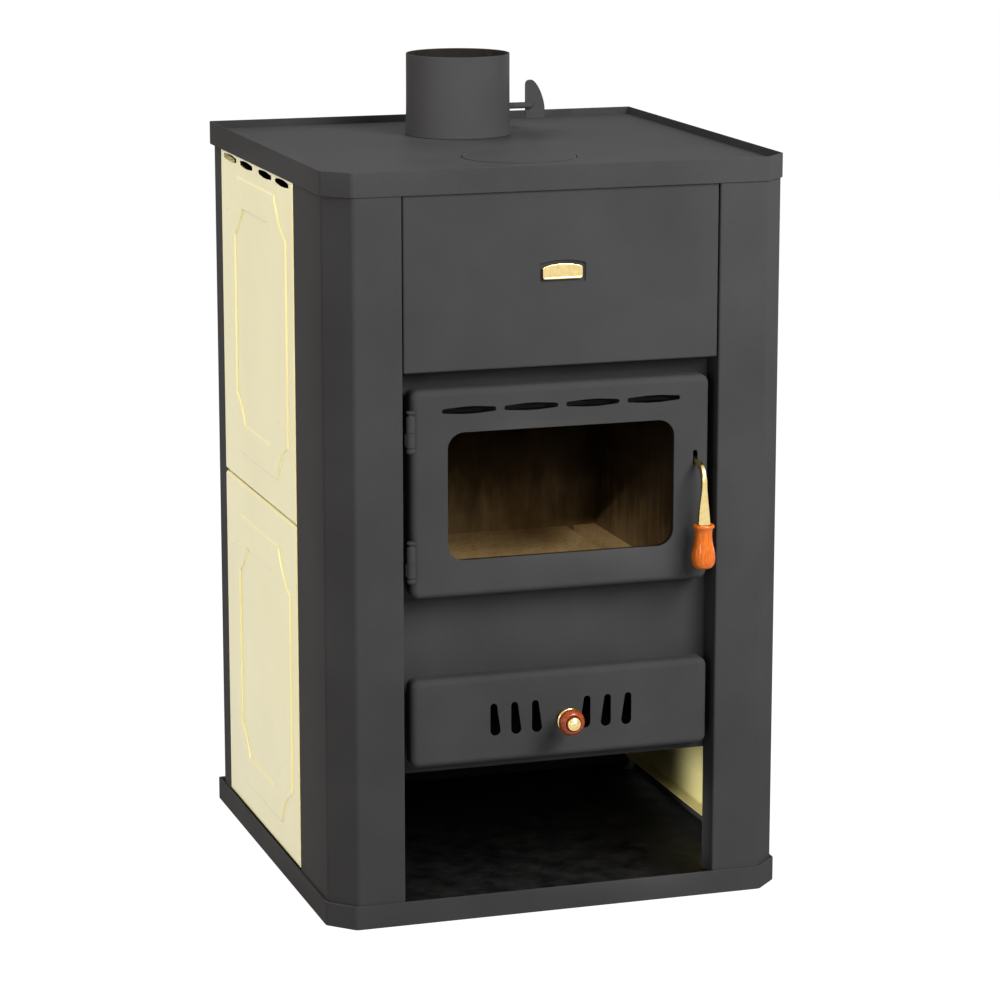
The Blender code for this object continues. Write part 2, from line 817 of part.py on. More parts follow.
def fire_floor(raw, cast, fireclay):
    half = liner_half - seat_gap
    low = boiler_front + 0.0005
    high = liner_back - seat_gap
    grate_low = plate_front + grate_start
    grate_high = grate_low + grate_length
    hole_half = grate_half - grate_rim
    mesh = bmesh.new()
    add_box(mesh, (-half, low, shelf_under), (half, high, shelf_top))
    shelf = piece("grate_shelf", mesh, raw)
    hole = bmesh.new()
    add_box(hole, (-hole_half, grate_low + grate_rim, shelf_under - 0.01),
            (hole_half, grate_high - grate_rim, shelf_top + 0.01))
    cut(shelf, hole)
    lands = bmesh.new()
    for side in (-1, 1):
        edges = sorted((side * board_strip_start, side * half))
        add_box(lands, (edges[0], low, shelf_top - 0.001), (edges[1], high, shelf_top + board_strip_height))
    join(shelf, lands)
    base = shelf_top + seat_gap
    mesh = bmesh.new()
    add_box(mesh, (-board_half, low + 0.002, base), (board_half, high, base + board_thickness))
    board = piece("firebox_floor_board", mesh, fireclay)
    hole = bmesh.new()
    grow = 2 * seat_gap
    add_box(hole, (-grate_half - grow, grate_low - grow, base - 0.01),
            (grate_half + grow, grate_high + grow, base + board_thickness + 0.01))
    cut(board, hole)
    mesh = bmesh.new()
    add_box(mesh, (-grate_half, grate_low, base), (grate_half, grate_high, base + board_thickness))
    grate = piece("grate", mesh, cast)
    slots = bmesh.new()
    pitch = (grate_length - 2 * grate_rim) / grate_slots
    for k in range(grate_slots):
        y = grate_low + grate_rim + pitch * (k + 0.5)
        for side in (-1, 1):
            outline = rounded_rect(hole_half / 2 - 0.003, grate_slot_width / 2, grate_slot_width / 2, steps=2)
            add_loft(slots, [on_z(outline, base - 0.01, side * hole_half / 2, y),
                             on_z(outline, base + board_thickness + 0.01, side * hole_half / 2, y)])
    cut(grate, slots)


def flame_baffle(cast):
    half = liner_half - seat_gap
    rear = liner_back - seat_gap
    low = shelf_top + baffle_height
    outline = [Vector((rear, low)), Vector((rear, low + baffle_thickness)),
               Vector((rear - baffle_length, low + baffle_rise + baffle_thickness)),
               Vector((rear - baffle_length, low + baffle_rise))]
    mesh = bmesh.new()
    add_loft(mesh, [on_x(outline, -half), on_x(outline, half)])
    piece("flame_baffle", mesh, cast)


def drawer_runners():
    # Two bars on the ash floor, one with the liner.
    mesh = bmesh.new()
    for side in (-1, 1):
        middle = side * (tray_half - runner_width)
        add_box(mesh, (middle - runner_width / 2, boiler_front + 0.002, ash_floor - 0.002),
                (middle + runner_width / 2, boiler_front + liner_depth - 0.004, ash_floor + runner_height))
    return mesh


# Upper front panel and badge

def upper_panel(steel, brass):
    half_wide = opening_half - panel_side_gap
    half_high = (body_top - upper_bottom) / 2
    face = body_front + door_set_back
    middle = (body_top + upper_bottom) / 2
    mesh = bmesh.new()
    add_pan(mesh, half_wide, half_high, sharp_bend, sharp_bend, plate_front - seat_gap - face,
            body_sheet, face, middle)
    made = piece("upper_front_panel", mesh, steel)
    badge_z = body_top - badge_drop
    margin = badge_recess_margin
    pocket = arched_outline(badge_width + 2 * margin, badge_height + 2 * margin, badge_arch)
    recess = bmesh.new()
    add_loft(recess, [on_y(pocket, face - 0.01, badge_z), on_y(pocket, face + badge_recess_depth, badge_z)])
    cut(made, recess)
    plate = arched_outline(badge_width, badge_height, badge_arch)
    mesh = bmesh.new()
    back = face + badge_recess_depth - seat_gap
    small = [p * 0.97 for p in plate]
    add_loft(mesh, [on_y(plate, back, badge_z), on_y(plate, back - badge_thickness * 0.7, badge_z),
                    on_y(small, back - badge_thickness, badge_z)])
    piece("badge_plate", mesh, brass)


# Lid, hob and flue

def lid_rim(steel):
    outline = cabinet_outline(0, stove_depth / 2)
    outer, inner = beside(outline, 0), beside(outline, lid_sheet)
    mesh = bmesh.new()
    add_loft(mesh, [on_z(outer, lid_bottom), on_z(outer, stove_height),
                    on_z(inner, stove_height), on_z(inner, lid_bottom)], closed=True)
    piece("lid_rim", mesh, steel)


def hob_plate(steel):
    outline = beside(cabinet_outline(0, stove_depth / 2), lid_sheet + seat_gap)
    mesh = bmesh.new()
    add_loft(mesh, [on_z(outline, hob_under), on_z(outline, hob_top)])
    made = piece("hob_plate", mesh, steel)
    holes = bmesh.new()
    add_turned(holes, [(hob_hole_radius, -0.02), (hob_hole_radius, 0.02)], (0, flue_y, hob_top), count=36)
    ledge = cooking_hole_radius - cooking_lid_lip
    add_turned(holes, [(ledge, -0.02), (ledge, -cooking_lid_skin), (cooking_hole_radius, -cooking_lid_skin),
                       (cooking_hole_radius, 0.02)], (0, front + cooking_hole_back, hob_top), count=40)
    cut(made, holes)


def cooking_lid(steel):
    place = (0, front + cooking_hole_back, hob_top)
    carrier = joint("cooking_lid_lift", place)
    mesh = bmesh.new()
    outer = cooking_hole_radius - 0.0006
    boss = cooking_hole_radius - cooking_lid_lip - 0.001
    skin = cooking_lid_skin - seat_gap
    add_turned(mesh, [(boss, -hob_thickness), (boss, -skin), (outer, -skin), (outer, -0.0006),
                      (outer - 0.0006, 0.0)], place, count=40)
    piece("cooking_lid", mesh, steel, carrier, smooth=True)


def flue(steel, raw):
    top = hob_top + flue_height
    foot = hob_top + seat_gap
    spigot = hob_hole_radius - seat_gap
    mesh = bmesh.new()
    add_turned(mesh, [(spigot - flue_spigot_wall, hob_under), (spigot, hob_under), (spigot, foot),
                      (flue_radius + flue_flare, foot), (flue_radius + flue_flare * 0.3, foot + 0.02),
                      (flue_radius, top), (flue_radius - flue_wall, top),
                      (flue_radius - flue_wall, foot + 0.006), (spigot - flue_spigot_wall, foot + 0.004)],
               (0, flue_y, 0), count=36, closed=True)
    made = piece("flue_collar", mesh, steel, smooth=True)
    hole = bmesh.new()
    add_turned(hole, [(spindle_radius + run_gap, 0.03), (spindle_radius + run_gap, 0.09)],
               (0, flue_y, damper_z), "X", count=16)
    cut(made, hole)
    reach = spindle_radius + run_gap
    outer = reach + bearing_wall
    wall_x = -((flue_radius - flue_wall) ** 2 - outer ** 2) ** 0.5 + seat_gap
    mesh = bmesh.new()
    add_turned(mesh, [(reach, 0), (outer, 0), (outer, bearing_length), (reach, bearing_length)],
               (wall_x, flue_y, damper_z), "X", count=16, closed=True)
    piece("damper_bearing", mesh, raw, smooth=True)
    return wall_x


def key_outline(left):
    # A leaf: upright on its left, flat below, its right side a quarter of a superellipse.
    tip = left + key_tip_radius
    quarter = [k * pi / 12 for k in range(7)]
    points = [Vector((left, -key_below)), Vector((left + key_width, -key_below))]
    wide = key_width - key_tip_radius
    points += [Vector((tip + wide * cos(a) ** key_fullness, key_above * sin(a) ** key_fullness))
               for a in quarter[:6]]
    points += [Vector((tip - key_tip_radius * sin(a), key_above - key_tip_radius * (1 - cos(a))))
               for a in quarter[::2]]
    return points


def damper(raw, wall_x):
    carrier = joint("damper_turn", (0, flue_y, damper_z))
    end = flue_radius + flue_flare + spindle_reach
    mesh = bmesh.new()
    r = spindle_radius
    add_turned(mesh, [(r * 0.8, wall_x + 0.0008), (r, wall_x + 0.0015), (r, end - 0.001), (r * 0.8, end)],
               (0, flue_y, damper_z), "X", count=16)
    piece("damper_spindle", mesh, raw, carrier, smooth=True)
    mesh = bmesh.new()
    face = flue_y + spindle_radius + seat_gap
    disc = circle(damper_radius, 30)
    add_loft(mesh, [on_y(disc, face, damper_z), on_y(disc, face + damper_thickness, damper_z)])
    made = piece("damper_disc", mesh, raw, carrier)
    notch = bmesh.new()
    clear = spindle_radius + run_gap + bearing_wall + 0.001
    add_turned(notch, [(clear, -0.08), (clear, wall_x + bearing_length + 0.001)],
               (0, flue_y, damper_z), "X", count=16)
    cut(made, notch)
    points = key_outline(end - key_overlap)
    mesh = bmesh.new()
    add_loft(mesh, [on_y(points, face, damper_z), on_y(points, face + key_thickness, damper_z)])
    piece("damper_key", mesh, raw, carrier)


# Fire door

def door_cutters():
    mesh = bmesh.new()
    low, high = door_face - 0.01, door_inner + 0.003
    window = rounded_rect(window_width / 2, window_height / 2, window_corner, steps=6)
    add_loft(mesh, [on_y(window, low, window_middle), on_y(window, high, window_middle)])
    for k in range(4):
        slot = vent_outline((k - 1.5) * door_vent_pitch, door_bottom + door_vent_rise)
        add_loft(mesh, [on_y(slot, low), on_y(slot, high)])
    half = (latch_slot_above + latch_slot_below) / 2
    slot = rounded_rect(latch_slot_width / 2, half, latch_slot_width / 2, steps=3)
    slot = [p + Vector((latch_x, 0)) for p in slot]
    middle = latch_z + (latch_slot_above - latch_slot_below) / 2
    add_loft(mesh, [on_y(slot, low, middle), on_y(slot, high, middle)])
    return mesh


def door(steel, raw, glass, rope, carrier):
    middle = (door_bottom + door_top) / 2
    mesh = bmesh.new()
    add_pan(mesh, door_half, door_height / 2, door_corner, door_roll, door_depth, door_sheet,
            door_face, middle)
    leaf = piece("door_leaf", mesh, steel, carrier, smooth=True)
    cut(leaf, door_cutters())
    pane = rounded_rect(seal_inner_half + glass_lap, seal_inner_high + glass_lap, window_corner + glass_lap)
    mesh = bmesh.new()
    add_loft(mesh, [on_y(pane, glass_front, window_middle), on_y(pane, glass_back, window_middle)])
    piece("door_glass", mesh, glass, carrier)
    corners = [(seal_inner_half, -seal_inner_high), (seal_inner_half, seal_inner_high),
               (-seal_inner_half, seal_inner_high), (-seal_inner_half, -seal_inner_high)]
    path = bent_path(corners, [window_corner] * 4, closed=True)
    depth = seal_back - seal_front
    wide, wall = seal_frame_width, seal_frame_wall
    groove = rope_diameter / 2 + seat_gap
    groove_front = plate_front - seat_gap - rope_diameter - seat_gap - seal_front
    bearing = door_inner + seat_gap - seal_front
    section = [(0, 0), (glass_lap, 0), (glass_lap, seal_frame_web), (wide - wall, seal_frame_web),
               (wide - wall, bearing), (wide, bearing), (wide, depth), (wide / 2 + groove, depth),
               (wide / 2 + groove, groove_front),
               (wide / 2 - groove, groove_front), (wide / 2 - groove, depth), (0, depth)]
    mesh = bmesh.new()
    add_sweep(mesh, path, section, seal_front, window_middle)
    piece("door_seal_frame", mesh, raw, carrier)
    r = rope_diameter / 2
    section = [(wide / 2 + r * cos(k * pi / 4), r * sin(k * pi / 4)) for k in range(8)]
    mesh = bmesh.new()
    add_sweep(mesh, path, section, plate_front - seat_gap - r, window_middle)
    piece("door_seal_rope", mesh, rope, carrier, smooth=True)

# Hinges

def hinge_middles():
    return (("upper", door_top - hinge_from_end), ("lower", door_bottom + hinge_from_end))


def top_finial(base):
    # The hinge's turned top: a neck, then a thin disc a little wider than the barrel.
    neck, wide = hinge_barrel_radius * 0.62, hinge_barrel_radius + finial_disc_lap
    disc, end = base + finial_neck, base + finial_neck + finial_disc
    return [(neck, base), (neck, disc), (wide, disc), (wide, end - finial_disc * 0.3), (wide * 0.7, end)]


def low_finial(base):
    # The hinge's turned foot: a groove, then a ball as wide as the barrel.
    r = hinge_barrel_radius
    ball = base - finial_groove
    return [(r * 0.7, base), (r * 0.7, ball), (r * 0.98, ball - finial_ball * 0.2),
            (r * 0.98, ball - finial_ball * 0.6), (r * 0.55, ball - finial_ball)]


def hinges(steel, carrier):
    r = hinge_barrel_radius
    half = hinge_barrel / 2
    bore = hinge_pin_radius + run_gap
    for name, z in hinge_middles():
        place = (hinge_x, hinge_y, z)
        mesh = bmesh.new()
        profile = [(bore, hinge_pin_length + 0.001), (bore, 0), (r, 0), (r, half - 0.0006),
                   (r - 0.0006, half)] + top_finial(half)
        add_turned(mesh, profile, place, count=16)
        knuckle = piece("door_knuckle_" + name, mesh, steel, carrier, smooth=True)
        leaf = bmesh.new()
        add_box(leaf, (-door_half - seat_gap - hinge_leaf, hinge_y + bore + 0.0006, z + 0.002),
                (-door_half - seat_gap, hinge_y + door_leaf_reach, z + half - 0.002))
        join(knuckle, leaf)
        mesh = bmesh.new()
        pin = hinge_pin_radius
        profile = [(pin * 0.7, hinge_pin_length), (pin, hinge_pin_length - 0.001), (pin, -seat_gap),
                   (r, -seat_gap), (r, -half + 0.0006), (r - 0.0006, -half)] + low_finial(-half)
        add_turned(mesh, profile, place, count=16)
        fixed = piece("frame_knuckle_" + name, mesh, steel, smooth=True)
        strap = bmesh.new()
        add_box(strap, (hinge_x - r - 0.0008, hinge_y, z - half + 0.002),
                (hinge_x - r - 0.0008 + hinge_leaf, plate_front - seat_gap, z - 0.002))
        join(fixed, strap)


# Latch

def latch_bracket(raw, carrier):
    # Two ears on the leaf's back with a bridge below, out of the lever's sweep.
    side = tab_thickness / 2 + seat_gap
    inner_left = latch_x - side
    inner_right = latch_x + side + hook_thickness + seat_gap
    low_z, high_z = latch_z - ear_below, latch_z + ear_above
    front_y = door_inner + seat_gap
    back_y = latch_y + pivot_radius + 0.003
    mesh = bmesh.new()
    for low, high in ((inner_left - ear_thickness, inner_left), (inner_right, inner_right + ear_thickness)):
        add_box(mesh, (low, front_y, low_z), (high, back_y, high_z))
    made = piece("latch_bracket", mesh, raw, carrier)
    bridge = bmesh.new()
    add_box(bridge, (inner_left - ear_thickness, front_y, low_z - 0.0005),
            (inner_right + ear_thickness, back_y, low_z + ear_thickness))
    join(made, bridge)
    holes = bmesh.new()
    add_turned(holes, [(pivot_radius + seat_gap, -0.03), (pivot_radius + seat_gap, 0.03)],
               (latch_x, latch_y, latch_z), "X", count=16)
    cut(made, holes)
    mesh = bmesh.new()
    start = inner_left - ear_thickness - seat_gap - latch_x
    end = inner_right + ear_thickness + seat_gap - latch_x
    add_turned(mesh, [(pivot_radius, start), (pivot_radius, end)], (latch_x, latch_y, latch_z), "X", count=16)
    piece("latch_pin", mesh, raw, carrier, smooth=True)


def lever_stations():
    # Middle of the lever's bar from the pivot outwards: distance out, height, width, thickness.
    out = latch_y - (door_face - lever_out)
    drop = lever_drop
    tab, eye, high = tab_thickness, lever_eye_height, lever_tab_height
    bend, thick = lever_bend_width, lever_bend_thickness
    neck, thin = lever_neck_width, lever_neck_thickness
    foot, end = lever_foot_width, lever_foot_thickness
    return [(-lever_tail, 0.0, tab, eye * 0.6), (0.0, 0.0, tab, eye), (lever_tail * 1.2, 0.0, tab, high),
            (out * 0.32, 0.0, tab, high), (out * 0.55, -drop * 0.017, (tab + bend) / 2, thick),
            (out * 0.76, -drop * 0.056, bend, thick), (out * 0.91, -drop * 0.14, bend, thick * 0.92),
            (out * 0.99, -drop * 0.27, (bend + neck) / 2, thin * 1.06), (out, -drop * 0.42, neck, thin),
            (out, -drop * 0.68, (neck + foot) / 2, thin), (out, -drop * 0.86, foot * 0.9, (thin + end) / 2),
            (out, -drop + seat_gap, foot, end)]


def latch(raw, brass, wood):
    carrier = joint("latch_turn", (latch_x, latch_y, latch_z))
    stations = lever_stations()
    rings = []
    for i, (out, up, wide, thick) in enumerate(stations):
        before = stations[max(i - 1, 0)]
        after = stations[min(i + 1, len(stations) - 1)]
        along = Vector((after[0] - before[0], after[1] - before[1])).normalized()
        across = Vector((-along.y, along.x))
        section = rounded_rect(wide / 2, thick / 2, min(wide, thick) * 0.3, steps=2)
        rings.append([Vector((latch_x + p.x, latch_y - out - across.x * p.y, latch_z + up + across.y * p.y))
                      for p in section])
    mesh = bmesh.new()
    add_loft(mesh, rings)
    lever = piece("latch_lever", mesh, brass, carrier, smooth=True)
    stem_y = latch_y - stations[-1][0]
    grip_top = latch_z - lever_drop
    tang = bmesh.new()
    add_turned(tang, [(tang_radius, 0.004), (tang_radius, -tang_length)], (latch_x, stem_y, grip_top),
               count=12)
    join(lever, tang)
    eye = bmesh.new()
    add_turned(eye, [(pivot_radius + run_gap, -0.01), (pivot_radius + run_gap, 0.01)],
               (latch_x, latch_y, latch_z), "X", count=16)
    cut(lever, eye)
    bore = tang_radius + seat_gap
    r = grip_radius
    low = -grip_length
    profile = [(bore, -tang_length - 0.001), (bore, 0), (r * 0.80, 0), (r * 0.89, low * 0.03),
               (r * 0.89, low * 0.06), (r * 0.78, low * 0.10), (r * 0.72, low * 0.18), (r * 0.74, low * 0.32),
               (r * 0.84, low * 0.48), (r * 0.96, low * 0.62), (r, low * 0.74), (r * 0.95, low * 0.86),
               (r * 0.78, low * 0.95), (r * 0.48, low)]
    mesh = bmesh.new()
    add_turned(mesh, profile, (latch_x, stem_y, grip_top), count=16)
    piece("latch_grip", mesh, wood, carrier, smooth=True)
    return carrier


def latch_hook(raw, carrier):
    # A plate beside the lever's tab that passes under the keeper bar and rises behind it.
    rise = keeper_above
    reach = keeper_behind
    bar = keeper_bar_radius + 0.001
    tip = 0.003
    low = -0.0045
    outline = [(-0.0045, low), (reach + bar + tip, low), (reach + bar + tip, rise + 0.003),
               (reach + bar, rise + 0.003), (reach + bar, rise - bar - 0.0005),
               (reach - bar, rise - bar - 0.0005), (0.006, 0.0045), (-0.0045, 0.0045)]
    points = [Vector((latch_y + y, latch_z + z)) for y, z in outline]
    left = latch_x + tab_thickness / 2 + seat_gap
    mesh = bmesh.new()
    add_loft(mesh, [on_x(points, left), on_x(points, left + hook_thickness)])
    made = piece("latch_hook", mesh, raw, carrier)
    eye = bmesh.new()
    add_turned(eye, [(pivot_radius + run_gap, -0.01), (pivot_radius + run_gap, 0.02)],
               (latch_x, latch_y, latch_z), "X", count=16)
    cut(made, eye)


def latch_keeper(raw):
    left = latch_x + tab_thickness / 2 + seat_gap
    clear = 0.0012
    z = latch_z + keeper_above
    y = latch_y + keeper_behind
    half = keeper_bar_radius + 0.0015
    mesh = bmesh.new()
    for low, high in ((left - clear - ear_thickness, left - clear),
                      (left + hook_thickness + clear, left + hook_thickness + clear + ear_thickness)):
        add_box(mesh, (low, y - half, z - half), (high, plate_front - seat_gap, z + half))
    made = piece("latch_keeper", mesh, raw)
    bar = bmesh.new()
    start = left - clear - ear_thickness / 2
    end = left + hook_thickness + clear + ear_thickness / 2
    add_turned(bar, [(keeper_bar_radius, start), (keeper_bar_radius, end)], (0, y, z), "X", count=12)
    join(made, bar)


# Ash drawer

def ash_drawer(steel, raw, brass, wood):
    carrier = joint("ash_drawer_pull", (0, drawer_face, knob_z))
    middle = drawer_bottom + drawer_height / 2
    mesh = bmesh.new()
    add_pan(mesh, drawer_half, drawer_height / 2, drawer_corner, drawer_roll, drawer_depth, drawer_sheet,
            drawer_face, middle)
    face = piece("drawer_front", mesh, steel, carrier, smooth=True)
    slots = bmesh.new()
    low, high = drawer_face - 0.01, drawer_face + 0.01
    for side in (-1, 1):
        for k in range(3):
            across = side * (drawer_slot_first + k * drawer_slot_pitch)
            outline = drawer_slot_outline(across, knob_z, side)
            add_loft(slots, [on_y(outline, low), on_y(outline, high)])
    cut(face, slots)
    base = ash_floor + runner_height + seat_gap
    start = drawer_face + drawer_sheet + seat_gap
    mesh = bmesh.new()
    half, top, end, sheet = tray_half, base + tray_height, start + tray_length, tray_sheet
    plan = [Vector((-half, start)), Vector((half, start)), Vector((half, end)), Vector((-half, end))]
    inner = [Vector((-half + sheet, start + sheet)), Vector((half - sheet, start + sheet)),
             Vector((half - sheet, end - sheet)), Vector((-half + sheet, end - sheet))]
    add_loft(mesh, [on_z(plan, base), on_z(plan, top), on_z(inner, top), on_z(inner, base + sheet)])
    tray = piece("ash_tray", mesh, raw, carrier)
    holes = bmesh.new()
    air_low = middle - drawer_slot_height / 2
    air_half = drawer_slot_first + 2.5 * drawer_slot_pitch
    for side in (-1, 1):
        edges = sorted((side * 0.018, side * air_half))
        add_box(holes, (edges[0], start - 0.01, air_low),
                (edges[1], start + 0.01, air_low + drawer_slot_height))
    cut(tray, holes)
    knob(brass, wood, carrier)


def knob(brass, wood, carrier):
    # Turned pieces on one axis, each length measured outwards from the drawer's face.
    place = (0, drawer_face, knob_z)
    stem, flange = knob_stem_length, knob_flange
    ring, cap = knob_ring_length, knob_cap_length
    core = knob_stem_radius
    start = seat_gap
    mesh = bmesh.new()
    add_turned(mesh, [(knob_washer_radius, -start), (knob_washer_radius, -start - 0.0015),
                      (core, -start - 0.0025), (core, -stem), (knob_flange_radius * 0.9, -stem - 0.0004),
                      (knob_flange_radius, -stem - flange / 2), (knob_flange_radius * 0.9, -stem - flange),
                      (core, -stem - flange), (core, -stem - flange - ring + 0.004)], place, "Y")
    piece("knob_stem", mesh, brass, carrier, smooth=True)
    back = stem + flange + seat_gap
    front_end = stem + flange + ring
    bore = core + seat_gap
    seat = knob_cap_radius + seat_gap
    r = knob_ring_radius
    mesh = bmesh.new()
    add_turned(mesh, [(bore, -back), (r * 0.70, -back), (r * 0.92, -back - ring * 0.16),
                      (r, -back - ring * 0.42), (r * 0.95, -back - ring * 0.68),
                      (r * 0.80, -front_end + 0.001), (r * 0.66, -front_end),
                      (seat, -front_end + 0.0015), (seat, -front_end + 0.004), (bore, -front_end + 0.004)],
               place, "Y", count=18, closed=True)
    piece("knob_ring", mesh, wood, carrier, smooth=True)
    base = front_end - 0.004 + seat_gap
    r = knob_cap_radius
    mesh = bmesh.new()
    add_turned(mesh, [(r, -base), (r, -base - cap * 0.45), (r * 0.93, -base - cap * 0.68),
                      (r * 0.72, -base - cap * 0.88), (r * 0.40, -base - cap * 0.98),
                      (r * 0.08, -base - cap)], place, "Y")
    piece("knob_cap", mesh, brass, carrier, smooth=True)


def build():
    for old in list(bpy.data.objects):
        bpy.data.objects.remove(old)
    steel = material("charcoal_stove_paint", (0.062, 0.060, 0.058), 0.62)
    raw = material("black_raw_steel", (0.035, 0.034, 0.033), 0.55, 0.6)
    zinc = material("zinc_screw", (0.45, 0.45, 0.44), 0.35, 1.0)
    cast = material("cast_iron", (0.050, 0.045, 0.040), 0.80, 0.3)
    enamel = material("ivory_enamel", (0.80, 0.74, 0.46), 0.22)
    fireclay = material("fireclay", (0.40, 0.29, 0.17), 0.90)
    glass = material("ceramic_glass", (0.30, 0.24, 0.18), 0.05)
    rope = material("seal_rope", (0.30, 0.29, 0.27), 0.95)
    brass = material("polished_brass", (0.76, 0.55, 0.20), 0.18, 1.0)
    grip_wood = material("lacquered_orange_wood", (0.68, 0.13, 0.01), 0.18)
    knob_wood = material("lacquered_brown_wood", (0.36, 0.06, 0.01), 0.18)

    base_tray(steel)
    front_columns(steel)
    rear_posts(steel)
    side_panels(enamel)
    back_panel(steel, zinc)
    store_ceiling(steel)
    boiler(steel, raw)
    front_plate(steel)
    smoke_box(raw)
    fire_floor(raw, cast, fireclay)
    flame_baffle(cast)
    upper_panel(steel, brass)
    lid_rim(steel)
    hob_plate(steel)
    cooking_lid(steel)
    wall_x = flue(steel, raw)
    damper(raw, wall_x)
    door_carrier = joint("door_swing", (hinge_x, hinge_y, (door_bottom + door_top) / 2))
    door(steel, raw, glass, rope, door_carrier)
    hinges(steel, door_carrier)
    latch_bracket(raw, door_carrier)
    latch_carrier = latch(raw, brass, grip_wood)
    latch_carrier.parent = door_carrier
    latch_carrier.matrix_parent_inverse = Matrix.Translation(door_carrier.location).inverted()
    latch_hook(raw, latch_carrier)
    latch_keeper(raw)
    ash_drawer(steel, raw, brass, knob_wood)


build()
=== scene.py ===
from math import atan2, cos, hypot, pi, radians, sin, tan

import bmesh
import bpy
import numpy as np
from mathutils import Euler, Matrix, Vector


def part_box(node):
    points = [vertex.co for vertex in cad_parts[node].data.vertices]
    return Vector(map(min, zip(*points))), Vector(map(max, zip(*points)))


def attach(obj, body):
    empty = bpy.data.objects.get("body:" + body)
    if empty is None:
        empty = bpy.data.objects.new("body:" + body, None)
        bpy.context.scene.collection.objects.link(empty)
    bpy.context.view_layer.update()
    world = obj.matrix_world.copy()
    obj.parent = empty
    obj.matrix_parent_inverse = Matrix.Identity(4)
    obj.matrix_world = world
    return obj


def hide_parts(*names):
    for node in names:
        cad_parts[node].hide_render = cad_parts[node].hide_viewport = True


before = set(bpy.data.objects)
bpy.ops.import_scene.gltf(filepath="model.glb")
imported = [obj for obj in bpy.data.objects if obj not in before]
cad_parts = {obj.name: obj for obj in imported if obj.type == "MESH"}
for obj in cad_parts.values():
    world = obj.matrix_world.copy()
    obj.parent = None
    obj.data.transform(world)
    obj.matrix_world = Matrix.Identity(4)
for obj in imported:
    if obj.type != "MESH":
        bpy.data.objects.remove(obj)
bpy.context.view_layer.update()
scene = bpy.context.scene
hair = 0.0003        # between two pieces that touch
through = 0.01        # how far a cutting tool reaches past what it cuts
layer = 0.0001        # how far a thin layer lies off what carries it
print("frame loaded,", len(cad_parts), "nodes")


def boxOf(node):
    # A node's box: its low and high corners, its middle and half its size.
    low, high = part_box(node)
    return low, high, (low + high) / 2, (high - low) / 2


# Curves, worked out as whole arrays

def roundBends(corners, radii, steps=8):
    # A line through the corners, as complex numbers. At each corner that has a radius an arc
    # touches both runs: its centre lies at radius from both, and its points turn from one
    # run's side to the other's. An open line has no radius at its ends.
    points, runs = np.array(corners, float) @ (1, 1j), []
    for i, radius in enumerate(radii):
        into, out = points[i] - points[i - 1], points[(i + 1) % len(points)] - points[i]
        turn = np.angle(out / into) if radius else 0
        into /= abs(into)
        side = radius * into * (-1j if turn > 0 else 1j)
        arc = side * np.exp(1j * np.linspace(0, turn, steps + 1)) if radius else [0]
        runs.append(points[i] - into * radius * tan(abs(turn) / 2) - side + arc)
    line = np.concatenate(runs)
    return np.stack([line.real, line.imag], 1)


def shiftLine(line, distance, ends=False):
    # Every point moves to its left by the distance: along the sum of the left normals
    # of its two runs, divided by one plus their dot product, which keeps mitres exact.
    # A loop joins its last point to its first, and a line with ends doesn't.
    before, after = line - np.roll(line, 1, 0), np.roll(line, -1, 0) - line
    if ends:
        before[0], after[-1] = after[0], before[-1]
    left = [run[:, ::-1] * (-1, 1) / np.hypot(*run.T)[:, None] for run in (before, after)]
    return line + distance * (left[0] + left[1]) / (1 + (left[0] * left[1]).sum(1, keepdims=True))


def smoothLine(points, spans=6):
    # A smooth curve through the points: each span is the cubic through its two ends
    # whose slope at a point is half the way from the point before to the point after.
    p = np.array(points, float)
    p = np.vstack([2 * p[:1] - p[1:2], p, 2 * p[-1:] - p[-2:-1]])
    a, b, c, d = p[:-3, None], p[1:-2, None], p[2:-1, None], p[3:, None]
    t = np.linspace(0, 1, spans, endpoint=False)[None, :, None]
    curve = b + 0.5 * ((c - a) * t + (2 * a - 5 * b + 4 * c - d) * t ** 2 + (3 * b - 3 * c + d - a) * t ** 3)
    return np.vstack([curve.reshape(-1, p.shape[1]), p[-2:-1]])


def turnedOutline(points, radius, length, base=0.0, spans=6):
    # A smooth profile through points given as shares of a radius and of a length.
    return smoothLine(np.array(points) * (radius, length) + (0, base), spans)


def arcAt(centre, radius, angle):
    # Points at one distance from a centre.
    return np.array(centre).T + radius * np.stack([np.cos(angle), np.sin(angle)], -1)


def aroundFrom(count):
    # Even angles of a full turn.
    return np.linspace(0, 2 * pi, count, endpoint=False)


def roundedRect(halfWide, halfHigh, radius, steps=12):
    # Four quarter circles, each about its own corner's centre, counter-clockwise.
    corner = np.repeat(np.arange(4), steps + 1)
    angle = (corner + np.tile(np.linspace(0, 1, steps + 1), 4)) * pi / 2
    signU, signV = np.where((corner == 0) | (corner == 3), 1, -1), np.where(corner < 2, 1, -1)
    return arcAt((signU * (halfWide - radius), signV * (halfHigh - radius)), radius, angle)


def rolledRim(roll, sheet, depth, steps, backSteps):
    # How far in and how far back a rolled rim lies: a quarter circle from the face into the
    # flange, the flange's end, and a quarter circle of a sheet less back inside.
    turn, back = np.linspace(0, pi / 2, steps), np.linspace(pi / 2, 0, backSteps)
    inner = roll - sheet
    insets = [[roll + 0.0006], roll * (1 - np.sin(turn)), [0, sheet], roll - inner * np.sin(back)]
    drops = [[0], roll * (1 - np.cos(turn)), [depth, depth], roll - inner * np.cos(back)]
    return np.concatenate(insets), np.concatenate(drops)


# Solids, each a grid of rings

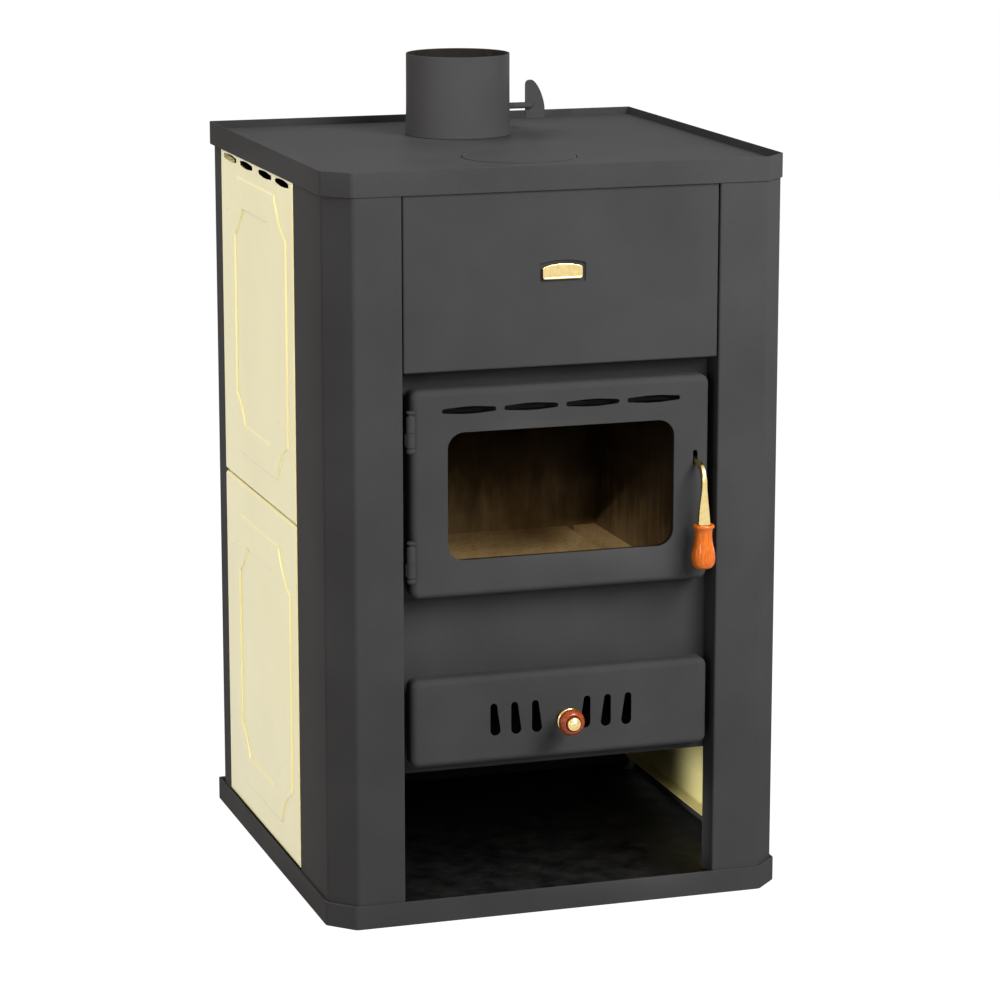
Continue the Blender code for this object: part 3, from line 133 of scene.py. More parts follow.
def laidFlat(loops, heights, axis):
    # Each loop of flat points lies at its own height on the axis.
    loops = np.asarray(loops, float)
    level = np.broadcast_to(np.asarray(heights, float)[:, None], loops.shape[:2])
    parts = [loops[..., 0], loops[..., 1]]
    parts.insert("XYZ".index(axis), level)
    return np.stack(parts, -1)


def turnedRings(profile, place, axis="Z", count=96):
    # Each point of the profile (radius, distance along) goes round the axis as a circle.
    radius, along = np.array(profile, float).T
    loops = arcAt((0, 0), 1, aroundFrom(count)) * radius[:, None, None]
    return laidFlat(loops, along, axis) + place


def addSolid(name, rings, wrap=False):
    # Rings joined in turn by quads. The two end rings are closed by flat faces,
    # or the last ring meets the first.
    rings = np.asarray(rings, float)
    index = np.arange(rings.shape[0] * rings.shape[1]).reshape(rings.shape[:2])
    rows = np.vstack([index, index[:1]]) if wrap else index
    low, high = rows[:-1], rows[1:]
    faces = np.stack([low, np.roll(low, -1, 1), np.roll(high, -1, 1), high], -1).reshape(-1, 4).tolist()
    if not wrap:
        faces += [index[0][::-1].tolist(), index[-1].tolist()]
    mesh = bpy.data.meshes.new(name)
    mesh.from_pydata(rings.reshape(-1, 3).tolist(), [], faces)
    work = bmesh.new()
    work.from_mesh(mesh)
    bmesh.ops.recalc_face_normals(work, faces=work.faces)
    work.to_mesh(mesh)
    work.free()
    made = bpy.data.objects.new(name, mesh)
    scene.collection.objects.link(made)
    return made


def turned(name, profile, place, axis="Z", count=96, wrap=False):
    return addSolid(name, turnedRings(profile, place, axis, count), wrap)


def carried(name, loop, low, high, axis="Y"):
    # A flat loop carried straight along the axis.
    return addSolid(name, laidFlat([loop, loop], [low, high], axis))


def addBlock(name, low, high):
    # A plain block between two corners.
    loop = [(low[0], low[1]), (high[0], low[1]), (high[0], high[1]), (low[0], high[1])]
    return carried(name, loop, low[2], high[2], "Z")


def combine(made, tools, operation="DIFFERENCE"):
    # Cuts the tools out of the piece, or joins them to it, and keeps only the result.
    for tool in tools:
        step = made.modifiers.new("shape", "BOOLEAN")
        step.operation, step.solver, step.object = operation, "EXACT", tool
    bpy.context.view_layer.update()
    result = bpy.data.meshes.new_from_object(made.evaluated_get(bpy.context.evaluated_depsgraph_get()))
    made.modifiers.clear()
    made.data = result
    for tool in tools:
        bpy.data.objects.remove(tool)
    return made


def finishPiece(made, finish, body, *nodes, edge=0.0, corner=40):
    # Smooth shading, a small round on every sharp edge, the finish, and what it stands for.
    made.data.shade_smooth()
    made.data.materials.clear()
    made.data.materials.append(finish["material"])
    if edge:
        rounding = made.modifiers.new("edges", "BEVEL")
        rounding.width, rounding.segments = edge, 2
        rounding.limit_method, rounding.angle_limit = "ANGLE", radians(corner)
        rounding.use_clamp_overlap = False
    made.modifiers.new("flats", "WEIGHTED_NORMAL").weight = 60
    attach(made, body)
    if nodes:
        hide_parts(*nodes)


# Materials

def linear(code):
    # An sRGB hex colour as the linear value that a shader reads.
    channels = np.array([int(code[i:i + 2], 16) for i in (1, 3, 5)]) / 255
    straight = np.where(channels <= 0.04045, channels / 12.92, ((channels + 0.055) / 1.055) ** 2.4)
    return (*straight.tolist(), 1.0)


def addNode(tree, kind, settings=None, links=None):
    # One node: settings are its own properties or its sockets' values, and links join
    # sockets to it. A node given as a source stands for its first output.
    node = tree.nodes.new("ShaderNode" + kind)
    for key, value in (settings or {}).items():
        if key == "stops":
            ends = node.color_ramp.elements
            for element, (place, colour) in zip((ends[0], ends[1]), (value[0], value[-1])):
                element.position, element.color = place, colour
            for place, colour in value[1:-1]:
                ends.new(place).color = colour
        elif isinstance(key, str) and hasattr(node, key):
            setattr(node, key, value)
        else:
            node.inputs[key].default_value = value
    for key, source in (links or {}).items():
        tree.links.new(source.outputs[0] if hasattr(source, "outputs") else source, node.inputs[key])
    return node


def startMaterial(name):
    # A material with an empty tree, and the piece's own coordinates.
    material = bpy.data.materials.new(name)
    material.use_nodes = True
    material.node_tree.nodes.clear()
    return material, material.node_tree, addNode(material.node_tree, "TexCoord").outputs["Object"]


def makeMaterial(look, toneBy, roughBy, reliefBy=None, drawMore=None):
    # Each noise has its grain's size, detail, roughness and stretch. The noises, and what
    # drawMore adds to them, pick the tone and the roughness and are the relief's height.
    material, tree, place = startMaterial(look["name"])
    values = {}
    for key, (grain, detail, rough, *stretch) in look["noise"].items():
        drawn = addNode(tree, "Mapping", {"Scale": stretch or (1, 1, 1)}, {"Vector": place})
        values[key] = addNode(tree, "TexNoise", {"Scale": 1 / grain, "Detail": detail, "Roughness": rough},
                              {"Vector": drawn})
    if drawMore:
        drawMore(look, tree, place, values)
    stops = [(at, linear(code)) for at, code in look["tones"].items()]
    low, high, smooth, dull = look["rough"]
    links = {"Base Color": addNode(tree, "ValToRGB", {"stops": stops}, {"Fac": values[toneBy]}),
             "Roughness": addNode(tree, "MapRange", {"From Min": low, "From Max": high, "To Min": smooth,
                                                     "To Max": dull}, {"Value": values[roughBy]})}
    if reliefBy:
        strength, depth = look["relief"]
        links["Normal"] = addNode(tree, "Bump", {"Strength": strength, "Distance": depth},
                                  {"Height": values[reliefBy]})
    shader = addNode(tree, "BsdfPrincipled", look["shader"], links)
    addNode(tree, "OutputMaterial", {}, {"Surface": shader})
    look["material"] = material


# Sprayed and stoved silicone paint: matt charcoal, a fine grain and faint clouds in its
# sheen. The grain is drawn 1.4 mm coarse to show.
stovePaint = {
    "slot": "charcoal_stove_paint", "name": "sprayed_stove_paint", "rough": (0.3, 0.7, 0.51, 0.63),
    "tones": {0.35: "#363535", 0.65: "#3e3d3d"}, "shader": {"Specular IOR Level": 0.006, "IOR": 1.5},
    "noise": {"grain": (0.0014, 3, 0.65), "cloud": (0.11, 3, 0.5)}, "grainShare": 0.45,
    "relief": (0.35, 0.00005)}


def mixGrainAndCloud(look, tree, place, values):
    share = look["grainShare"]
    soft = addNode(tree, "Math", {"operation": "MULTIPLY", 1: 1 - share}, {0: values["cloud"]})
    values["both"] = addNode(tree, "Math", {"operation": "MULTIPLY_ADD", 1: share},
                             {0: values["grain"], 2: soft})


# Vitreous enamel fired on pressed steel: ivory and glassy, with faint waves.
ivoryEnamel = {
    "slot": "ivory_enamel", "name": "fired_ivory_enamel", "rough": (0.3, 0.7, 0.11, 0.19),
    "tones": {0.3: "#cfc484", 0.7: "#d6cb8d"}, "relief": (0.3, 0.00012),
    "noise": {"cloud": (0.16, 3, 0.5), "pinhole": (0.0011, 1, 0.5), "wave": (0.022, 1, 0.5)},
    "shader": {"IOR": 1.5, "Coat Weight": 0.2, "Coat Roughness": 0.05}}

# Hot rolled steel with its mill scale on: blue-black, patchy, half metallic. Its deep tone is drawn darker
# still, as painted shade for the sheet on the wood store's floor.
millScale = {
    "slot": "black_raw_steel", "name": "hot_rolled_mill_scale", "rough": (0.3, 0.7, 0.44, 0.70),
    "tones": {0.32: "#101010", 0.7: "#272523"}, "shader": {"Metallic": 0.55},
    "noise": {"patch": (0.035, 6, 0.6), "scratch": (0.0025, 2, 0.5)}, "relief": (0.3, 0.00008)}

# Boiler plate in the firebox: dull brown-black with upright streaks, paler towards the fire floor and
# darkest at the top, which is painted shade of the firebox.
sootAndShadePlate = {
    "slot": "black_raw_steel", "name": "sooted_and_shaded_boiler_plate", "rough": (0.3, 0.7, 0.66, 0.90),
    "tones": {0.0: "#776d5a", 0.35: "#3f3830", 1.0: "#1c1814"}, "shader": {"Specular IOR Level": 0.1},
    "relief": (0.2, 0.0002), "noise": {"streak": (0.016, 5, 0.6, 1, 1, 0.22)}, "low": 0.384, "high": 0.62,
    "wobble": 0.5}


def shadeUpwards(look, tree, place, values):
    # The height over the fire floor, moved up and down by the streaks: the tone darkens with it as painted
    # shade.
    split = addNode(tree, "SeparateXYZ", {}, {"Vector": place})
    height = addNode(tree, "MapRange", {"From Min": look["low"], "From Max": look["high"]},
                     {"Value": split.outputs["Z"]})
    wobble = addNode(tree, "Math", {"operation": "MULTIPLY_ADD", 1: look["wobble"], 2: -look["wobble"] / 2},
                     {0: values["streak"]})
    values["level"] = addNode(tree, "Math", {"operation": "ADD"}, {0: height, 1: wobble})


# Grey cast iron from a sand mould: dark, matt and pitted by 1 mm grains of sand.
sandCastIron = {
    "slot": "cast_iron", "name": "sand_cast_iron", "rough": (0, 1, 0.7, 0.9),
    "tones": {0.3: "#1f1c19", 0.7: "#3a342d"}, "shader": {"Metallic": 0.3},
    "noise": {"patch": (0.025, 5, 0.5)}, "cell": 0.0012, "relief": (0.5, 0.0002)}

# Pressed vermiculite board: sand coloured matt flakes of about 3 mm.
vermiculite = {
    "slot": "fireclay", "name": "pressed_vermiculite", "rough": (0, 1, 0.85, 0.95),
    "tones": {0.25: "#a1957c", 0.55: "#bdb194", 0.85: "#d0c7ae"}, "shader": {"Specular IOR Level": 0.2},
    "noise": {"stain": (0.09, 4, 0.5)}, "cell": 0.0030, "flakeShare": 0.35, "stainShare": 0.8,
    "relief": (0.5, 0.0004)}


def pitWithCells(look, tree, place, values):
    # Cells of one grain or flake each: how far a point lies from its cell's middle.
    values["cell"] = addNode(tree, "TexVoronoi", {"Scale": 1 / look["cell"]}, {"Vector": place})


def toneByFlakes(look, tree, place, values):
    pitWithCells(look, tree, place, values)
    split = addNode(tree, "SeparateColor", {}, {"Color": values["cell"].outputs["Color"]})
    soft = addNode(tree, "Math", {"operation": "MULTIPLY", 1: look["stainShare"]}, {0: values["stain"]})
    values["flake"] = addNode(tree, "Math", {"operation": "MULTIPLY_ADD", 1: look["flakeShare"]},
                              {0: split.outputs["Red"], 2: soft})
    values["dry"] = split.outputs["Green"]


# Cast brass, buffed bright: pale yellow with faint buffing lines.
buffedBrass = {
    "slot": "polished_brass", "name": "buffed_cast_brass", "rough": (0.3, 0.7, 0.15, 0.27),
    "tones": {0.3: "#e0c47f", 0.7: "#ebd598"}, "shader": {"Metallic": 1.0}, "relief": (0.2, 0.00003),
    "noise": {"line": (0.0011, 2, 0.5, 1, 1, 0.12), "cloud": (0.006, 3, 0.5)}}

# Zinc plated steel screws: pale grey, slightly blue, with a soft sheen.
zincPlate = {
    "slot": "zinc_screw", "name": "zinc_plated_steel", "rough": (0, 1, 0.24, 0.42),
    "tones": {0.3: "#8d8f90", 0.7: "#b9bcbd"}, "shader": {"Metallic": 1.0},
    "noise": {"bloom": (0.0016, 3, 0.5)}}

# Turned beech, stained and lacquered: fine grain of 1.5 mm lines along the axis under a
# glossy coat. The two differ in their stain and in the way they lie.
grainLine, grainStretch = 1 / 650, 45 / 650
lacquer = {"Coat Weight": 0.5, "Coat Roughness": 0.04, "Coat IOR": 1.52, "Specular IOR Level": 0.1}
orangeBeech = {
    "slot": "lacquered_orange_wood", "name": "orange_lacquered_beech", "shader": lacquer,
    "tones": {0.36: "#a84a00", 0.62: "#d06604"}, "rough": (0, 1, 0.25, 0.45),
    "noise": {"grain": (grainLine, 4, 0.6, 1, 1, grainStretch)}}
brownBeech = {
    "slot": "lacquered_brown_wood", "name": "brown_lacquered_beech", "shader": lacquer,
    "tones": {0.36: "#6e2606", 0.62: "#98400c"}, "rough": (0, 1, 0.25, 0.45),
    "noise": {"grain": (grainLine, 4, 0.6, 1, grainStretch, 1)}}

# Glass fibre rope, braided: pale grey strands with darker gaps, fluffy and matt.
glassRope = {
    "slot": "seal_rope", "name": "braided_glass_fibre", "rough": (0, 1, 0.85, 0.95),
    "tones": {0.3: "#4d4a45", 0.7: "#8a867d"}, "noise": {"fibre": (0.0008, 3, 0.5)},
    "shader": {"Sheen Weight": 0.3, "Specular IOR Level": 0.2}, "relief": (0.6, 0.0003)}

# Drawn ceramic glass: clear, faintly amber, with thin clouds of ash and a mirror that
# wakes only where the pane is seen aslant.
ceramicGlass = {
    "slot": "ceramic_glass", "tint": "#f8f2e8", "haze": "#e4d8c6", "mirror": 0.02, "cloud": 0.05,
    "mirrorShare": 0.35, "wakes": 0.02}


def drawCeramicGlass():
    look = ceramicGlass
    material, tree, place = startMaterial("drawn_ceramic_glass")
    cloud = addNode(tree, "TexNoise", {"Scale": 1 / look["cloud"], "Detail": 4}, {"Vector": place})
    dirt = addNode(tree, "MapRange", {"From Min": 0.35, "From Max": 0.75}, {"Value": cloud})
    tones = {"Color1": linear(look["tint"]), "Color2": linear(look["haze"])}
    body = addNode(tree, "MixRGB", tones, {"Fac": dirt})
    clear = addNode(tree, "BsdfTransparent", {}, {"Color": body})
    gloss = {"Roughness": look["mirror"], "Color": (look["mirrorShare"],) * 3 + (1,)}
    mirror = addNode(tree, "BsdfGlossy", gloss)
    facing = addNode(tree, "LayerWeight", {"Blend": 0.5}).outputs["Facing"]
    bounce = addNode(tree, "Math", {"operation": "POWER", 1: 5.0}, {0: facing})
    aslant = addNode(tree, "MapRange", {"From Min": look["wakes"]}, {"Value": bounce})
    whole = addNode(tree, "MixShader", {}, {0: aslant, 1: clear, 2: mirror})
    addNode(tree, "OutputMaterial", {}, {"Surface": whole})
    look["material"] = material


makeMaterial(stovePaint, "both", "both", "grain", mixGrainAndCloud)
makeMaterial(ivoryEnamel, "cloud", "pinhole", "wave")
makeMaterial(millScale, "patch", "patch", "scratch")
makeMaterial(sootAndShadePlate, "level", "streak", "streak", shadeUpwards)
makeMaterial(sandCastIron, "patch", "cell", "cell", pitWithCells)
makeMaterial(vermiculite, "flake", "dry", "cell", toneByFlakes)
makeMaterial(buffedBrass, "cloud", "line", "line")
makeMaterial(zincPlate, "bloom", "bloom")
makeMaterial(orangeBeech, "grain", "grain")
makeMaterial(brownBeech, "grain", "grain")
makeMaterial(glassRope, "fibre", "fibre", "fibre")
drawCeramicGlass()
print("materials ready")


# Cabinet sheet work

cabinet = {
    "sheet": 0.0015, "cornerCut": 0.030, "cornerBend": 0.008, "edgeBend": 0.0025, "baseSheet": 0.003,
    "storeShadeSheet": 0.0008, "storeShadeGap": 0.0005, "landingStep": 0.020, "landing": 0.016, "postRear": 0.040,
    "returnFlange": 0.014, "foldFace": 0.0006, "leastBend": 0.0004}


def foldedPair(name, node, corners, radii):
    # The left sheet's cross-section, its face along the corners and its back a sheet
    # thickness to the left, carried straight up, and its mirror image on the right.
    face = roundBends(corners, radii, steps=10)
    loop = np.vstack([face, shiftLine(face, cabinet["sheet"], ends=True)[::-1]])
    for side, flip in (("left", 1), ("right", -1)):
        low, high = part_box(node + side)
        made = carried(name + side, loop * (flip, 1), low.z, high.z, "Z")
        finishPiece(made, stovePaint, "stove", node + side, edge=0.0003)


def frontColumns():
    size, cut, bend, edge = cabinet, cabinet["cornerCut"], cabinet["cornerBend"], cabinet["edgeBend"]
    low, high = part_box("front_column_left")
    panelFront, landing = high.y - size["landing"], low.x + size["landingStep"]
    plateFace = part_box("boiler_front_plate")[0].y - hair
    foldedPair("column_", "front_column_",
               [(landing, high.y), (landing, panelFront), (low.x, panelFront), (low.x, low.y + cut),
                (low.x + cut, low.y), (high.x, low.y), (high.x, plateFace),
                (high.x - size["returnFlange"], plateFace)],
               [0, size["foldFace"], edge, bend, bend, edge, edge, 0])


def rearPosts():
    size, edge = cabinet, cabinet["edgeBend"]
    low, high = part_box("rear_post_left")
    panelRear, landing = low.y + size["landing"], low.x + size["landingStep"]
    foldedPair("post_", "rear_post_",
               [(low.x + size["postRear"], high.y), (low.x, high.y), (low.x, panelRear),
                (landing, panelRear), (landing, low.y)],
               [0, edge, edge, size["foldFace"], 0])


def cabinetLoop(low, high, inset=0.0):
    # The plan of lid and base: chamfered at the front, square at the back. Inside it the
    # corners keep their bends' centres.
    cut = cabinet["cornerCut"]
    corners = np.array([(high.x, low.y + cut), (high.x, high.y), (low.x, high.y), (low.x, low.y + cut),
                        (low.x + cut, low.y), (high.x - cut, low.y)])
    bend, fold = (max(cabinet[key] - inset, cabinet["leastBend"]) for key in ("cornerBend", "edgeBend"))
    return roundBends(shiftLine(corners, inset), [bend, fold, fold, bend, bend, bend], steps=10)


def cabinetBand(name, node, sheet, floor, wrap):
    # The plan's outline carried up, and back down a sheet further in.
    low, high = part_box(node)
    outer, inner = cabinetLoop(low, high), cabinetLoop(low, high, sheet)
    heights = [low.z, high.z, high.z, low.z + floor]
    return addSolid(name, laidFlat([outer, outer, inner, inner], heights, "Z"), wrap)


def lidAndBase():
    size, sheet = cabinet, cabinet["baseSheet"]
    made = cabinetBand("lid_band", "lid_rim", size["sheet"], 0.0, True)
    finishPiece(made, stovePaint, "stove", "lid_rim", edge=0.0005)
    made = cabinetBand("base_band_and_floor", "base_tray", sheet, sheet, False)
    finishPiece(made, stovePaint, "stove", "base_tray", edge=0.0007)
    # A thin sheet of dark unpainted steel lies on the store's floor: painted shade of the store's inside.
    low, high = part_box("base_tray")
    bare, level = cabinetLoop(low, high, sheet + size["storeShadeGap"]), low.z + sheet + layer
    made = carried("store_floor_shade_sheet", bare, level, level + size["storeShadeSheet"], "Z")
    finishPiece(made, millScale, "stove", edge=0.0002)


# Enamelled side panels

sidePanel = {
    "sheet": 0.0012, "roll": 0.0045, "sideMargin": 0.032, "endMargin": 0.040, "bandSide": 0.043,
    "bandEnd": 0.037, "scoop": (0.054, 0.049, 0.0075), "innerScoop": (0.041, 0.037, 0.0036),
    "relief": 0.0018, "slope": 0.0034, "lowerLift": -0.003, "ventDrop": 0.0068,
    "vents": (-0.129, -0.047, 0.047, 0.129), "arc": 20}
ventSlot = {
    "length": 0.066, "middle": 0.0088, "end": 0.0050, "flat": 0.0165, "softness": 0.012, "round": 0.94}


def fourCorners(corner):
    # One corner's points, and the same mirrored into the other three.
    return np.vstack([corner, corner[::-1] * (-1, 1), corner * (-1, -1), corner[::-1] * (1, -1)])


def scoopedLoop(halfWide, halfHigh, wide, high, hollow):
    # A rectangle whose corners are concave arcs through (wide, high) with the given hollow:
    # the arc's radius is (chord squared / 4 + hollow squared) / (2 hollow).
    chord = hypot(wide, high)
    radius = (chord ** 2 / 4 + hollow ** 2) / (2 * hollow)
    spread = atan2(chord / 2, radius - hollow)
    outward = np.array([high, wide]) / chord
    centre = outward * (radius - hollow) + (halfWide - wide / 2, halfHigh - high / 2)
    angle = atan2(*-outward[::-1]) - spread * np.linspace(-1, 1, sidePanel["arc"] + 1)
    corner = arcAt(centre, radius, angle)
    return fourCorners(corner[np.argsort(corner[:, 1])])


def panelEdgeLoop(halfWide, halfHigh, radius, reach, rise):
    # A rounded rectangle with as many points as the scooped loop: a third of each corner's
    # points go up the side, a third round the corner and a third along the top.
    third = np.linspace(0, 1, (sidePanel["arc"] + 1) // 3)
    level = np.ones_like(third)
    side = [halfWide * level, halfHigh - rise + (rise - radius) * third * 0.96]
    bend = arcAt((halfWide - radius, halfHigh - radius), radius, third * pi / 2)
    top = [halfWide - radius - (reach - radius) * (0.04 + third * 0.96), halfHigh * level]
    return fourCorners(np.vstack([np.transpose(side), bend, np.transpose(top)]))


def ventLoop(across, up):
    # A slot with round ends that swells in straight lines to a short flat middle.
    size, soft = ventSlot, ventSlot["softness"]
    end, middle, reach, flat = size["end"] / 2, size["middle"] / 2, size["length"] / 2, size["flat"] / 2
    corners = [(reach, -end), (reach, end), (flat, middle), (-flat, middle), (-reach, end), (-reach, -end),
               (-flat, -middle), (flat, -middle)]
    bend = end * size["round"]
    return roundBends(corners, [bend, bend, soft, soft] * 2) + (across, up)


def pressPanel(name, node, hand, lift, vented):
    # A pan whose face is flat, then climbs a smooth S (3 t squared - 2 t cubed) on each
    # of two scooped outlines, and rolls back round its rim.
    size, roll, sheet = sidePanel, sidePanel["roll"], sidePanel["sheet"]
    low, high, middle, half = boxOf(node)
    inside, outside = sorted((abs(low.x), abs(high.x)))
    skin = outside - size["relief"]
    wide, tall = half.y - size["sideMargin"], half.z - size["endMargin"]
    outer = scoopedLoop(wide, tall, *size["scoop"])
    inner = scoopedLoop(wide - size["bandSide"], tall - size["bandEnd"], *size["innerScoop"])

    def climbBoth(first, second, way, steps, level):
        # Up along the first outline and down along the second.
        rise = np.linspace(0, 1, steps)
        climb = size["relief"] * (3 * rise ** 2 - 2 * rise ** 3) + level
        return [shiftLine(line, way * (t - 0.5) * size["slope"]) + (0, lift)
                for line in (first, second) for t in rise], [climb, climb[::-1]]

    insets, drops = rolledRim(roll, sheet, skin - inside, 8, 6)
    reach, climbSide = size["scoop"][0] + size["sideMargin"], size["scoop"][1] + size["endMargin"]
    rim = [panelEdgeLoop(half.y - i, half.z - i, max(roll - i, hair), reach, climbSide) for i in insets]
    face, faceHeights = climbBoth(inner, outer, -1, 9, 0)
    back, backHeights = climbBoth(outer, inner, 1, 5, -sheet)
    heights = np.concatenate([*faceHeights, -drops, *backHeights])
    loops = np.array(face + rim + back) + (middle.y, middle.z)
    made = addSolid(name, laidFlat(loops, hand * (skin + heights), "X"))
    if vented:
        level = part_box("lid_rim")[0].z - size["ventDrop"]
        combine(made, [carried("vent", ventLoop(middle.y + offset, level), hand * (skin - through),
                               hand * (skin + through), "X") for offset in size["vents"]])
    finishPiece(made, ivoryEnamel, "stove", node, edge=0.0003, corner=75)


def sidePanels():
    for side, hand in (("left", -1), ("right", 1)):
        pressPanel("panel_upper_" + side, "side_panel_upper_" + side, hand, 0.0, True)
        pressPanel("panel_lower_" + side, "side_panel_lower_" + side, hand, sidePanel["lowerLift"], False)


# Back: sheet, screws and water sockets

backPlate = {
    "corner": 0.0004, "screwRadius": 0.0045, "screwHeight": 0.0026, "slotWide": 0.0011, "slotLong": 0.0030,
    "slotDeep": 0.0011, "bore": 0.0152, "threadPitch": 0.0023, "threadDepth": 0.0011, "threadEnd": 0.004,
    "lip": 0.0012, "holeGap": 0.001, "headEdge": 0.25, "headSpan": 0.78, "headFoot": 0.97}


def backPanel():
    low, high, middle, half = boxOf("back_panel")
    loop = roundedRect(half.x, half.z, backPlate["corner"], steps=1) + (middle.x, middle.z)
    made = carried("rear_cover", loop, low.y, high.y)
    tools = []
    for node in ("flow_socket", "return_socket"):
        _, _, middle, half = boxOf(node)
        radius, place = half.x + backPlate["holeGap"], (middle.x, high.y, middle.z)
        tools.append(turned("hole", [(radius, -through), (radius, through)], place, "Y"))
    finishPiece(combine(made, tools), stovePaint, "stove", "back_panel", edge=0.0004)


def backScrews():
    # A pan head: the radius falls as a quarter ellipse over the head's height.
    size, radius = backPlate, backPlate["screwRadius"]
    rise = np.linspace(size["headEdge"], 1, 10)
    fall = radius * np.sqrt(1 - ((rise - size["headEdge"]) / size["headSpan"]) ** 2)
    profile = np.vstack([[(radius * size["headFoot"], 0)],
                         np.stack([fall, rise * size["screwHeight"]], 1)])
    wide, long = size["slotWide"] / 2, size["slotLong"]
    for name in [side + "_" + row for side in ("left", "right") for row in "123"]:
        low, high, middle, _ = boxOf("back_screw_" + name)
        made = turned("screw_" + name, profile, (middle.x, low.y, middle.z), "Y", count=32)
        bottom, top = high.y - size["slotDeep"], high.y + through
        tools = [addBlock("slot", (middle.x - a, bottom, middle.z - b), (middle.x + a, top, middle.z + b))
                 for a, b in ((wide, long), (long, wide))]
        finishPiece(combine(made, tools), zincPlate, "stove", "back_screw_" + name, edge=0.00012)


def waterSockets():
    # A turned ring whose bore waves by half the thread's depth once each pitch, a turn of
    # the ring moving the wave on by one pitch.
    size, bore, lip = backPlate, backPlate["bore"], backPlate["lip"]
    for node in ("flow_socket", "return_socket"):
        low, high, middle, half = boxOf(node)
        length, outer = high.y - low.y, half.x
        thread = np.linspace(length - lip, size["threadEnd"], 150)
        ring = [(bore, 0), (outer, 0), (outer, length - lip), (outer - lip, length), (bore + lip, length)]
        profile = np.vstack([ring, np.stack([np.full_like(thread, bore), thread], 1)])
        rings = turnedRings(profile, (0, 0, 0), "Y", count=72)
        angle = np.arctan2(rings[..., 2], rings[..., 0])
        wave = 0.5 * size["threadDepth"] * np.cos(2 * pi * rings[..., 1] / size["threadPitch"] - angle)
        wave *= (np.arange(len(profile)) >= len(ring))[:, None]
        rings[..., ::2] *= (1 + wave / np.hypot(rings[..., 0], rings[..., 2]))[..., None]
        rings += (middle.x, low.y, middle.z)
        made = addSolid(node.replace("socket", "thread_socket"), rings, True)
        finishPiece(made, millScale, "stove", node)


# Lid, cooking lid and flue

hob = {
    "lip": 0.006, "skin": 0.0025, "lidGap": 0.0012, "edge": 0.0004, "shadeEdge": 0.0014, "proud": 0.0006,
    "centre": 0.004, "bossGap": 0.001, "arris": 0.0004}
flue = {
    "wall": 0.002, "flare": 0.0018, "flareFall": 7, "spindleGap": 0.0006, "scale": 0.0005,
    "spigotOver": 0.0007, "spigotWall": 0.002, "lining": (0.0068, 0.0007), "foot": 0.0006,
    "seat": (0.004, 0.006), "drill": (0.03, 0.09), "boreGap": 0.001}


def hobPlate():
    low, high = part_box("hob_plate")
    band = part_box("lid_rim")
    made = carried("hob_sheet", cabinetLoop(*band, band[1].x - high.x), low.z, high.z, "Z")
    _, _, lid, lidHalf = boxOf("cooking_lid")
    _, _, collar, collarHalf = boxOf("flue_collar")
    radius, skin, far = lidHalf.x + hob["lidGap"], hob["skin"], 2 * through
    ledge, bore = radius - hob["lip"], collarHalf.x - flue["flare"] - flue["wall"] + flue["boreGap"]
    tools = [turned("mouth", [(ledge, -far), (ledge, -skin), (radius, -skin), (radius, far)],
                    (0, lid.y, high.z), count=192),
             turned("bore", [(bore, -far), (bore, far)], (0, collar.y, high.z), count=144)]
    finishPiece(combine(made, tools), stovePaint, "stove", "hob_plate", edge=hob["edge"])


def cookingLid():
    low, high, middle, half = boxOf("cooking_lid")
    place, outer, depth = (0, middle.y, high.z), half.x, high.z - low.z
    boss = outer + hob["lidGap"] - hob["lip"] - hob["bossGap"]
    skin, inner, proud, axis = hob["skin"] - hair, outer - hob["shadeEdge"], hob["proud"], hob["centre"]
    profile = [(axis, -depth), (boss, -depth), (boss, -skin), (inner, -skin), (inner, proud), (axis, proud)]
    made = turned("cooking_disc", profile, place, count=192)
    finishPiece(made, stovePaint, "cooking_lid", "cooking_lid", edge=0.0003)
    # The edge is a ring of dark raw steel, its arris broken, a layer under the paint: it paints the shadow
    # of the gap round the lid.
    raw, arris = proud - layer, hob["arris"]
    profile = [(inner, -skin), (outer, -skin), (outer, proud - arris), (outer - arris, raw), (inner, raw)]
    made = turned("cooking_disc_shade_edge", profile, place, count=192, wrap=True)
    finishPiece(made, millScale, "cooking_lid", "cooking_lid")


def flueCollar():
    # The collar narrows from its foot by the flare times e to the power of minus its rise.
    low, high, middle, half = boxOf("flue_collar")
    foot, outer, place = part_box("hob_plate")[1].z + hair, half.x, (0, middle.y, 0)
    mouth = outer - flue["flare"]
    inside = mouth - flue["wall"]
    spigot, scale = inside + flue["spigotOver"], flue["scale"]
    lip, bare = spigot - flue["spigotWall"], inside + scale + layer
    rise = np.linspace(0.05, 1, 12)
    narrowing = mouth + flue["flare"] * np.exp(-rise * flue["flareFall"])
    taper = np.stack([narrowing, foot + rise * (high.z - foot)], 1)
    start = [(lip, low.z), (spigot, low.z), (spigot, foot), (outer, foot), (outer, foot + flue["foot"])]
    seat, throat = flue["seat"]
    profile = np.vstack([start, taper, [(bare, high.z), (bare, foot + throat), (lip, foot + seat)]])
    made = turned("flue_socket_ring", profile, place, count=144, wrap=True)
    _, _, spindle, spindleHalf = boxOf("damper_spindle")
    radius, axle = spindleHalf.z + flue["spindleGap"], (0, middle.y, spindle.z)
    tools = [turned("hole", [(radius, reach) for reach in flue["drill"]], axle, "X", 40)
             for _ in range(2)]
    finishPiece(combine(made, tools[:1]), stovePaint, "stove", "flue_collar", edge=0.0005)
    # A thin dark unpainted sleeve a hair inside the painted ring darkens the bore: partly soot, partly
    # painted shade of the deep bore.
    start, end = foot + flue["lining"][0], high.z - flue["lining"][1]
    bore = [(inside, start), (inside + scale, start), (inside + scale, end), (inside, end)]
    made = turned("flue_bore", bore, place, count=144, wrap=True)
    finishPiece(combine(made, tools[1:]), sootAndShadePlate, "stove", edge=0.0001)


